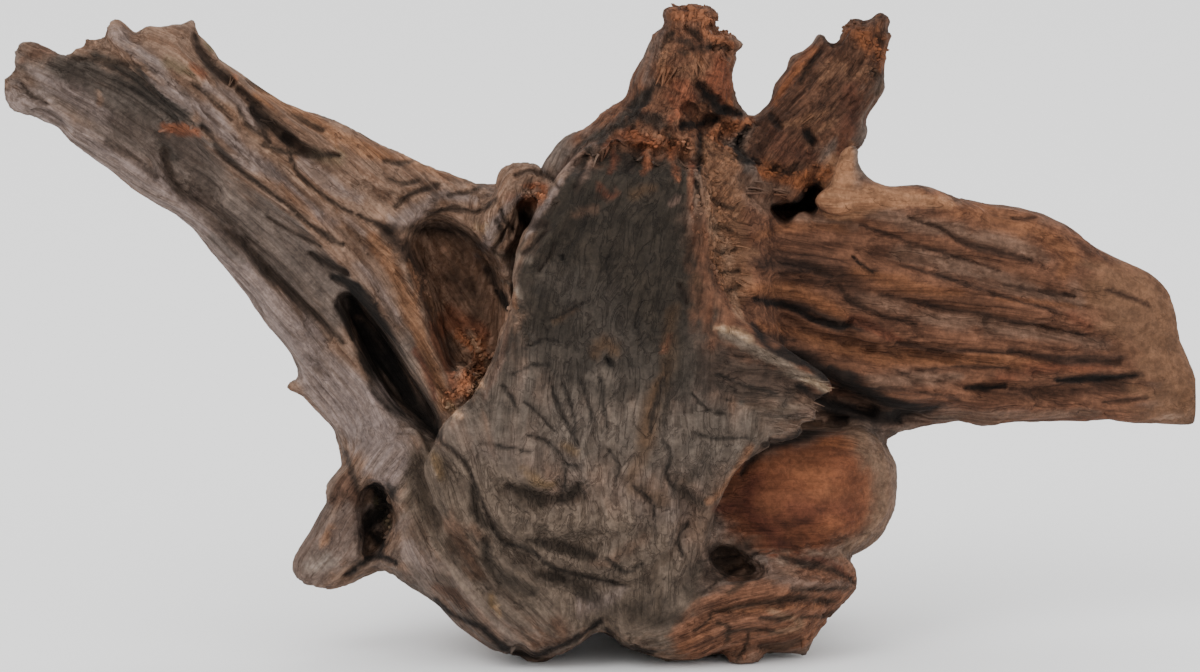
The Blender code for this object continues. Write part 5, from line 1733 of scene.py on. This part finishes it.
@dataclass(frozen=True)
class Skin:
    """The wood's skin: the solid's shape with its cracks, grain and colours."""

    voxel: float = 1.25 * MM
    easing: int = 6
    triangles: int = 192000
    front_share: float = 0.02
    front_favour: float = 3e-5
    front_facing: float = 0.05

    def build(self, solid: bpy.types.Object) -> bpy.types.Object:
        """Makes the skin over the solid.

        Args:
            solid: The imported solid.

        Returns:
            The finished skin.
        """
        wood = WoodFinish().make()
        mesh = self.fine_copy(solid)
        self.pull(mesh)
        self.carve(mesh)
        self.follow_grain(mesh)
        skin = linked("driftwood_skin", mesh)
        skin.data = GrainRelief().apply(skin, wood)
        skin.data = self.thinned(skin)
        keep_inside(skin.data, solid)
        self.follow_grain(skin.data)
        self.paint(skin.data)
        self.find_hollows(skin.data)
        skin.data.materials.clear()
        skin.data.materials.append(wood)
        skin.data.shade_smooth()
        return skin

    def fine_copy(self, solid: bpy.types.Object) -> bpy.types.Mesh:
        """A fine, even copy of the solid's mesh with its facets eased away."""
        shape = bmesh.new()
        shape.from_mesh(solid.data)
        bmesh.ops.remove_doubles(shape, verts=shape.verts, dist=1e-6)
        mesh = bpy.data.meshes.new("fine")
        shape.to_mesh(mesh)
        shape.free()
        carrier = linked("carrier", mesh)
        remesh = carrier.modifiers.new("Remesh", "REMESH")
        remesh.mode = "VOXEL"
        remesh.voxel_size = self.voxel
        smooth = carrier.modifiers.new("Smooth", "SMOOTH")
        smooth.factor = 0.5
        smooth.iterations = self.easing
        made = evaluated_mesh(carrier)
        bpy.data.objects.remove(carrier)
        return made

    @staticmethod
    def pull(mesh: bpy.types.Mesh) -> None:
        """Pulls the broken ends and edges into their outline."""
        spots, _ = arrays(mesh)
        for each in PULLS:
            moved = each.shifts(PLANE.flat(spots), PLANE.depth(spots)) * PLANE.step
            spots = spots + np.outer(moved[:, 0], (1, 0, 0)) - np.outer(moved[:, 1], PLANE.rise)
        move_to(mesh, spots)

    @staticmethod
    def carve(mesh: bpy.types.Mesh) -> None:
        """Pushes the front of the skin along the line of sight, cut by cut."""
        spots, normals = arrays(mesh)
        flat = PLANE.flat(spots) + 1.5 * ripples(spots, 0.012, 3, 5)
        depth = PLANE.depth(spots)
        facing = np.clip(-(normals @ PLANE.sight) * 2.0, 0, 1)
        push = np.zeros(len(spots))
        for each in (*(line.cut for line in GROOVES), *RIDGES):
            push += each.depth * each.stroke.share(flat, depth, each.softness)
        move_to(mesh, spots + np.outer(push * facing * MM, PLANE.sight))

    @staticmethod
    def follow_grain(mesh: bpy.types.Mesh) -> None:
        """Stores how each point lies along the two nearest limbs, and its qualities.

        The marks are how far a point leans to the second set of limbs, how rotten it
        is and how calm its grain is. The places are how wrinkled and how crumbly it is.
        """
        spots, _ = arrays(mesh)
        flat, depth = PLANE.flat(spots), PLANE.depth(spots)
        sway = 1.6 * ripple(spots / 0.03, 41, 2)
        nearest = []
        for name, flows in (("grain_first", FIRST_FLOWS), ("grain_second", SECOND_FLOWS)):
            best = np.full(len(spots), 1e9)
            grain = np.zeros((len(spots), 3))
            for number, limb in enumerate(flows):
                along, far = limb.coordinates(flat)
                closer = far < best
                best[closer] = far[closer]
                grain[closer, 0] = along[closer, 0] + 400 * number
                grain[closer, 1] = along[closer, 1] + sway[closer]
                grain[closer, 2] = depth[closer] + sway[closer]
            store(mesh, name, grain)
            nearest.append(best)
        loose = flat + 8.0 * ripples(spots, 0.015, 11, 13)
        lean = eased((nearest[0] - nearest[1]) / 0.3 + 0.5)
        lean = np.maximum(lean, SLAB_GRAIN.share(loose, depth, 0.25))
        lean = lean * (1 - SPUR_GRAIN.share(loose, depth, 0.3))
        rot, calm, wrinkled, crumbly = (
            np.max([line.share(loose, depth, 0.7) * strength for strength, line in marks], axis=0)
            for marks in (ROTTEN, CALM, WRINKLED, CRUMBLY)
        )
        store(mesh, "marks", np.column_stack([lean, rot, calm]))
        store(mesh, "places", np.column_stack([wrinkled, crumbly, 0 * rot]))

    def thinned(self, skin: bpy.types.Object) -> bpy.types.Mesh:
        """The skin's mesh, thinned to the wanted number of triangles, the back the most."""
        count = sum(len(face.vertices) - 2 for face in skin.data.polygons)
        log.info("skin before thinning: %d triangles", count)
        front = self.in_front(skin.data)
        group = skin.vertex_groups.new(name="thinned")
        group.add(np.where(~front)[0].tolist(), 1.0, "REPLACE")
        group.add(np.where(front)[0].tolist(), self.front_share, "REPLACE")
        skin.modifiers.new("Triangles", "TRIANGULATE")
        thin = skin.modifiers.new("Thin", "DECIMATE")
        thin.ratio = min(1.0, self.triangles / count)
        thin.vertex_group = group.name
        thin.vertex_group_factor = self.front_favour
        made = evaluated_mesh(skin)
        skin.modifiers.clear()
        skin.vertex_groups.clear()
        shares = front.mean(), self.in_front(made).mean()
        log.info("points on the front: %.2f before, %.2f after", *shares)
        return made

    def in_front(self, mesh: bpy.types.Mesh) -> np.ndarray:
        """Which of the mesh's vertices face the eye."""
        return -(arrays(mesh)[1] @ PLANE.sight) > self.front_facing

    def paint(self, mesh: bpy.types.Mesh) -> None:
        """Paints the skin patch by patch, with edges torn along the grain. Some patches are painted shade
        and some a painted highlight.
        """
        spots, normals = arrays(mesh)
        flat, depth = PLANE.flat(spots), PLANE.depth(spots)
        facing = -(normals @ PLANE.sight) * 1.5
        front, behind = eased(facing + 0.6), 1 - eased(facing + 0.9)
        wobble = ripples(spots, 0.015, 11, 13)
        rot, calm = stored(mesh, "marks")[:, 1:].T
        streak = self.streaks(mesh) * (1 - 0.8 * calm)
        crumbled = ripple(spots / 0.0045, 61, 2)
        ragged = 0.45 * streak * (1 - 0.7 * rot) + (0.15 + 0.5 * rot) * crumbled
        mottle = eased(0.5 * ripple(spots / 0.02, 21, 4) + 0.35 * streak + 0.5)[:, None]
        painted = {}
        for name in ("body", "fibre"):
            first, second = (getattr(tone, name) for tone in (Tone.ARM_TAN, Tone.ARM_GREY))
            painted[name] = first + mottle * (second - first)

        def lay(tone: Tone, share: np.ndarray) -> None:
            """Lays a tone over what is painted."""
            for name, colours in painted.items():
                colours += share[:, None] * (getattr(tone, name) - colours)

        drift = 0.016 * ripples(spots, 0.03, 121, 127, 131)
        for tone, seed in BACK_TONES:
            patches = ripple((spots + drift) / (0.05, 0.04, 0.06), seed, 4)
            lay(tone, 0.75 * (eased(0.8 * patches + 0.45 * streak + 0.1) * behind))
        for each in (*PATCHES, *(line.patch for line in GROOVES)):
            wander = min(6.0, 0.22 * each.stroke.reach)
            fray = each.softness * ragged
            share = each.stroke.share(flat + wander * wobble, depth, each.softness, fray)
            lay(each.tone, share * each.strength * front)
        swing = (1 + 0.14 * streak + 0.09 * ripple(spots / 0.004, 31, 2))[:, None]
        for name, layer_name in (("body", "tone"), ("fibre", "fibre")):
            colours = np.clip(painted[name] * swing, 0, 1)
            store_colours(mesh, layer_name, np.column_stack([colours, np.ones(len(spots))]))

    @staticmethod
    def streaks(mesh: bpy.types.Mesh) -> np.ndarray:
        """Noise about zero, drawn out along the grain."""
        lean = stored(mesh, "marks")[:, 0]
        first, second = (
            ripple(stored(mesh, name) / (34.0, 2.6, 2.6), 51, 2)
            for name in ("grain_first", "grain_second")
        )
        return first + lean * (second - first)

    @staticmethod
    def find_hollows(mesh: bpy.types.Mesh) -> None:
        """Stores how hollow each point is, with the relief's splits; the wood's finish paints shade into
        both.
        """
        spots, normals = arrays(mesh)
        ends = np.empty(len(mesh.edges) * 2, np.int32)
        mesh.edges.foreach_get("vertices", ends)
        ends = ends.reshape(-1, 2)
        count = np.bincount(ends.ravel(), minlength=len(spots))[:, None]
        levels = []
        smooth = spots
        for turn in range(24):
            total = np.zeros_like(spots)
            for axis in range(3):
                for one, other in ((0, 1), (1, 0)):
                    pulls = smooth[ends[:, other], axis]
                    total[:, axis] += np.bincount(ends[:, one], pulls, len(spots))
            smooth = 0.5 * smooth + 0.5 * total / np.maximum(count, 1)
            if turn in (4, 23):
                levels.append(((smooth - spots) * normals).sum(1) / MM)
        hollow = np.clip(levels[0] / 0.5 + levels[1] / 1.6, -1, 1)
        split = rows_of(mesh.attributes["split"].data, "value", 1)
        store(mesh, "shape", np.column_stack([hollow, split, levels[1]]))


@dataclass(frozen=True)
class Crumbs:
    """The loose crumbs that lie where the wood has rotted, as geometry nodes."""

    density: float = 300000.0
    smallest: float = 0.4 * MM
    largest: float = 1.5 * MM
    seed: int = 5

    def build(self, skin: bpy.types.Object, wood: bpy.types.Material) -> bpy.types.Object:
        """Strews the crumbs.

        Args:
            skin: The finished skin.
            wood: The crumbs' material.

        Returns:
            The crumbs, as one piece.
        """
        values = {name.title(): value for name, value in vars(self).items()}
        values["Wood"] = wood
        return linked("driftwood_crumbs", grown(skin, self.tree(values), values))

    @staticmethod
    def tree(values: dict[str, object]) -> bpy.types.NodeTree:
        """Builds the tree, which strews crumbs over the skin's crumbly places."""
        sketch = NodeSketch(bpy.data.node_groups.new("crumbs", "GeometryNodeTree"))
        given = sketch.start(values)
        _, crumbly, _ = sketch.parts(sketch.read("places"))
        strewn = sketch.node(
            "GeometryNodeDistributePointsOnFaces",
            {
                "Mesh": given["Geometry"],
                "Density": sketch.times(crumbly, given["Density"]),
                "Seed": given["Seed"],
            },
            distribute_method="RANDOM",
        )
        crumb = sketch.node("GeometryNodeMeshIcoSphere", {"Radius": 1.0, "Subdivisions": 1})
        turn = sketch.random((0.0, 0.0, 0.0), (math.tau, math.tau, math.tau), 1)
        shape = sketch.random((0.35, 0.5, 0.8), (0.8, 1.0, 1.6), 2)
        size = sketch.random(given["Smallest"], given["Largest"], 3)
        scaled = sketch.node("ShaderNodeVectorMath", {0: shape, "Scale": size}, operation="SCALE")
        placed = sketch.node(
            "GeometryNodeInstanceOnPoints",
            {
                "Points": strewn.outputs["Points"],
                "Instance": crumb.outputs[0],
                "Rotation": turn,
                "Scale": scaled.outputs[0],
            },
        )
        shade = sketch.random(0.0, 0.6, 4)
        kept = sketch.keep(placed.outputs[0], "shade", shade, "INSTANCE")
        sketch.finish(kept, given["Wood"])
        return sketch.tree


@dataclass(frozen=True)
class Tuft:
    """A tuft of splinters that spring from a torn edge.

    The root and the heading are in u and v, the length, the spread and the width in
    steps of the plane.
    """

    root: tuple[float, float]
    heading: tuple[float, float]
    length: float
    count: int = 5
    spread: float = 5.0
    width: float = 4.4
    near: float = NEAREST
    far: float = FARTHEST


TUFTS = (
    # the torn column's feathered side
    Tuft((736, 206), (1, -0.5), 12, 2, far=-45.0),
    Tuft((738, 244), (1, 0.1), 15, 3, 4.0, far=-45.0),
    Tuft((738, 274), (1, 0.4), 13, 3, far=-45.0),
    Tuft((700, 190), (0.2, 1), 14, 3, far=-45.0),
    Tuft((704, 230), (0.3, 1), 14, 3, far=-45.0),
    Tuft((708, 280), (0.3, 1), 13, 3, far=-45.0),
    # the spur's tips
    Tuft((820, 386), (1, 0.5), 16, 6, 4.0, far=-70.0),
    Tuft((808, 398), (1, 0.25), 15, 6, 5.0, far=-70.0),
    Tuft((796, 418), (1, 0.1), 16, 6, 5.0, far=-70.0),
    Tuft((776, 432), (1, 0.25), 15, 5, 5.0, far=-70.0),
    Tuft((760, 350), (1, 0.6), 18, 5, 4.0, far=-70.0),
    # the peak and the branch
    Tuft((724, 38), (1, 0.2), 10, 2, 2.0),
    Tuft((724, 52), (0.6, 0.8), 12, 4, 4.0),
    Tuft((700, 60), (0.3, 1), 18, 6, 7.0),
    Tuft((668, 66), (-0.3, 1), 18, 6, 7.0),
    Tuft((852, 56), (-0.6, 0.8), 18, 6, 7.0),
    Tuft((826, 84), (-0.7, 0.7), 20, 6, 7.0),
    Tuft((812, 110), (-0.8, 0.6), 20, 6, 6.0),
    # beside the gap behind the web
    Tuft((752, 184), (1, 0.3), 22, 7, 6.0, near=-60.0, far=-38.0),
    Tuft((776, 190), (1, 0.35), 18, 5, 4.0, near=-60.0, far=-38.0),
    # the arm's broken end and its rim
    Tuft((224, 80), (0.4, -1), 14, 2, 1.5, 5.0),
    Tuft((182, 64), (0.8, 0.7), 18, 5, 5.0),
    Tuft((262, 112), (0.8, 0.6), 18, 5, 5.0),
    Tuft((300, 140), (0.9, 0.4), 16, 4, 4.0),
    # the strands of the ring knot and the slab's left edge
    Tuft((506, 302), (0.8, 0.8), 12, 5, 4.0),
    Tuft((524, 324), (-0.2, 1), 14, 5, 3.0),
    Tuft((600, 146), (-0.4, 1), 16, 6, 6.0),
    # spikes on the broken edges
    Tuft((510, 650), (-0.5, 1), 9, 1, 0.5, 8.0),
    Tuft((740, 658), (-0.1, 1), 9, 1, 0.5, 8.0),
    Tuft((802, 644), (0.1, 1), 8, 1, 0.5, 8.0),
    Tuft((880, 24), (0.2, -1), 8, 1, 0.5, 6.0),
)


@dataclass(frozen=True)
class Splinters:
    """The splinters along torn edges, drawn as lines that geometry nodes thicken."""

    bends: int = 5
    flatness: float = 0.4
    lift: float = 0.45 * MM
    brightening: float = 0.12
    reach: float = 4.0

    @staticmethod
    def tree(values: dict[str, object]) -> bpy.types.NodeTree:
        """Builds the tree, which turns each line into a tapering splinter."""
        sketch = NodeSketch(bpy.data.node_groups.new("splinters", "GeometryNodeTree"))
        given = sketch.start(values)
        lines = sketch.node("GeometryNodeMeshToCurve", {"Mesh": given["Geometry"]})
        ring = sketch.node("GeometryNodeCurvePrimitiveCircle", {"Resolution": 5, "Radius": 1.0})
        squash = sketch.node("ShaderNodeCombineXYZ", {0: 1.0, 1: given["Flatness"], 2: 1.0})
        profile = sketch.node(
            "GeometryNodeTransform", {"Geometry": ring.outputs[0], "Scale": squash.outputs[0]}
        )
        skin = sketch.node(
            "GeometryNodeCurveToMesh",
            {
                "Curve": lines.outputs[0],
                "Profile Curve": profile.outputs[0],
                "Scale": sketch.read("thick", "FLOAT"),
                "Fill Caps": True,
            },
        )
        sketch.finish(skin.outputs[0], given["Wood"])
        return sketch.tree

    def build(self, skin: bpy.types.Object, wood: bpy.types.Material) -> bpy.types.Object:
        """Grows the splinters from the skin.

        Args:
            skin: The finished skin.
            wood: The splinters' material.

        Returns:
            The splinters, as one piece.
        """
        spots, _ = arrays(skin.data)
        flat, depth = PLANE.flat(spots), PLANE.depth(spots)
        steps = np.linspace(0, 1, self.bends)
        points, edges, thick, shade, roots = [], [], [], [], []
        for number, tuft in enumerate(TUFTS):
            for index in range(tuft.count):
                draws = hashed(np.array([[number, index, turn] for turn in range(6)]), 91)
                root = self.root(tuft, draws, flat, depth)
                if root is None:
                    continue
                first = len(points)
                points.extend(self.line(tuft, draws, spots[root]))
                width = 0.5 * tuft.width * PLANE.step * (0.6 + 0.8 * draws[4])
                thick.extend(width * (1 - 0.85 * steps))
                edges.extend((first + step, first + step + 1) for step in range(self.bends - 1))
                shade.extend([self.brightening * draws[5] * 2] * self.bends)
                roots.extend([root] * self.bends)
        guide = bpy.data.meshes.new("splinter_lines")
        guide.from_pydata(points, edges, [])
        for name, numbers in (("thick", thick), ("shade", shade)):
            guide.attributes.new(name, "FLOAT", "POINT").data.foreach_set("value", numbers)
        for name in ("tone", "fibre"):
            colours = rows_of(skin.data.color_attributes[name].data, "color", 4)
            store_colours(guide, name, colours[roots])
        store(guide, "grain_first", np.array(points) / MM)
        carrier = linked("driftwood_splinters", guide)
        values = {"Flatness": self.flatness, "Wood": wood}
        carrier.data = grown(carrier, self.tree(values), values)
        return carrier

    def root(
        self, tuft: Tuft, draws: np.ndarray, flat: np.ndarray, depth: np.ndarray
    ) -> int | None:
        """The skin's vertex that a splinter springs from, or None where there is none."""
        spot = np.array(tuft.root) + (draws[:2] - 0.5) * 2 * tuft.spread
        away = np.linalg.norm(flat - spot, axis=1)
        close = np.where((away < self.reach) & (depth > tuft.near) & (depth < tuft.far))[0]
        if not len(close):
            return None
        return int(close[np.argmin(depth[close])])

    def line(self, tuft: Tuft, draws: np.ndarray, start: np.ndarray) -> list[tuple]:
        """The bent line of one splinter, from just under the skin to its tip."""
        heading = np.array(tuft.heading) + (draws[2:4] - 0.5) * 0.7
        heading /= np.linalg.norm(heading)
        length = tuft.length * PLANE.step * (0.45 + 0.6 * draws[4])
        way = np.array((heading[0], 0.0, 0.0)) - heading[1] * PLANE.rise
        across = np.array((heading[1], 0.0, 0.0)) + heading[0] * PLANE.rise
        made = []
        for step in np.linspace(0, 1, self.bends):
            raised = self.lift * (1.6 * step - 0.6)
            bow = (draws[5] - 0.5) * 0.35 * length * step**2
            made.append(tuple(start + way * length * step + across * bow - PLANE.sight * raised))
        return made


@dataclass(frozen=True)
class Studio:
    """The pale floor, the soft lights and the camera."""

    floor_size: float = 40.0
    floor_grey: float = 0.9
    sky: float = 1.5
    aim: tuple[float, float, float] = (-0.0020, 0.0011, 0.1234)
    lens: float = 298.6
    distance: float = 4.0

    def build(self) -> None:
        """Makes the floor, the lights and the camera."""
        self.floor()
        self.light("key", (-1.6, -2.2, 2.6), 1.8, 51.0)
        self.light("fill", (2.4, -2.0, 1.2), 2.4, 12.0)
        self.light("top", (0.2, 1.2, 2.6), 1.8, 18.0)
        world = bpy.data.worlds.new("studio")
        world.use_nodes = True
        background = world.node_tree.nodes["Background"].inputs
        background["Color"].default_value = (1, 1, 1, 1)
        background["Strength"].default_value = self.sky
        bpy.context.scene.world = world
        self.camera()

    def floor(self) -> None:
        """Lays the floor."""
        shape = bmesh.new()
        bmesh.ops.create_grid(shape, x_segments=2, y_segments=2, size=self.floor_size / 2)
        mesh = bpy.data.meshes.new("floor")
        shape.to_mesh(mesh)
        shape.free()
        material = bpy.data.materials.new("pale_floor")
        material.use_nodes = True
        surface = material.node_tree.nodes["Principled BSDF"]
        surface.inputs["Base Color"].default_value = (*[self.floor_grey] * 3, 1.0)
        surface.inputs["Roughness"].default_value = 0.9
        mesh.materials.append(material)
        linked("floor", mesh)

    def light(
        self, name: str, place: tuple[float, float, float], size: float, power: float
    ) -> None:
        """Hangs a soft square light that faces the object."""
        lamp = bpy.data.lights.new(name, "AREA")
        lamp.size = size
        lamp.energy = power
        holder = linked(name, lamp)
        holder.location = place
        heading = Vector(self.aim) - Vector(place)
        holder.rotation_euler = heading.to_track_quat("-Z", "Y").to_euler()

    def camera(self) -> None:
        """Sets the camera at the photograph's viewing angle."""
        lens = bpy.data.cameras.new("camera")
        lens.lens = self.lens
        lens.clip_start = 0.1
        lens.clip_end = 100.0
        holder = linked("camera", lens)
        sight = Vector(PLANE.sight)
        holder.location = Vector(self.aim) - sight * self.distance
        holder.rotation_euler = sight.to_track_quat("-Z", "Y").to_euler()
        bpy.context.scene.camera = holder


def main() -> None:
    """Builds the driftwood and its studio in order."""
    logging.basicConfig(level=logging.INFO, format="%(message)s")
    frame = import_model()
    solid = frame["nodes"]["driftwood"]
    skin = Skin().build(solid)
    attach(skin, "root")
    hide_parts("driftwood")
    log.info("%s: %d faces", skin.name, len(skin.data.polygons))
    torn = TornFinish().make()
    for maker in (Crumbs(), Splinters()):
        bits = maker.build(skin, torn)
        keep_inside(bits.data, solid)
        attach(bits, "root")
        log.info("%s: %d faces", bits.name, len(bits.data.polygons))
    Studio().build()


if __name__ == "__main__":
    main()
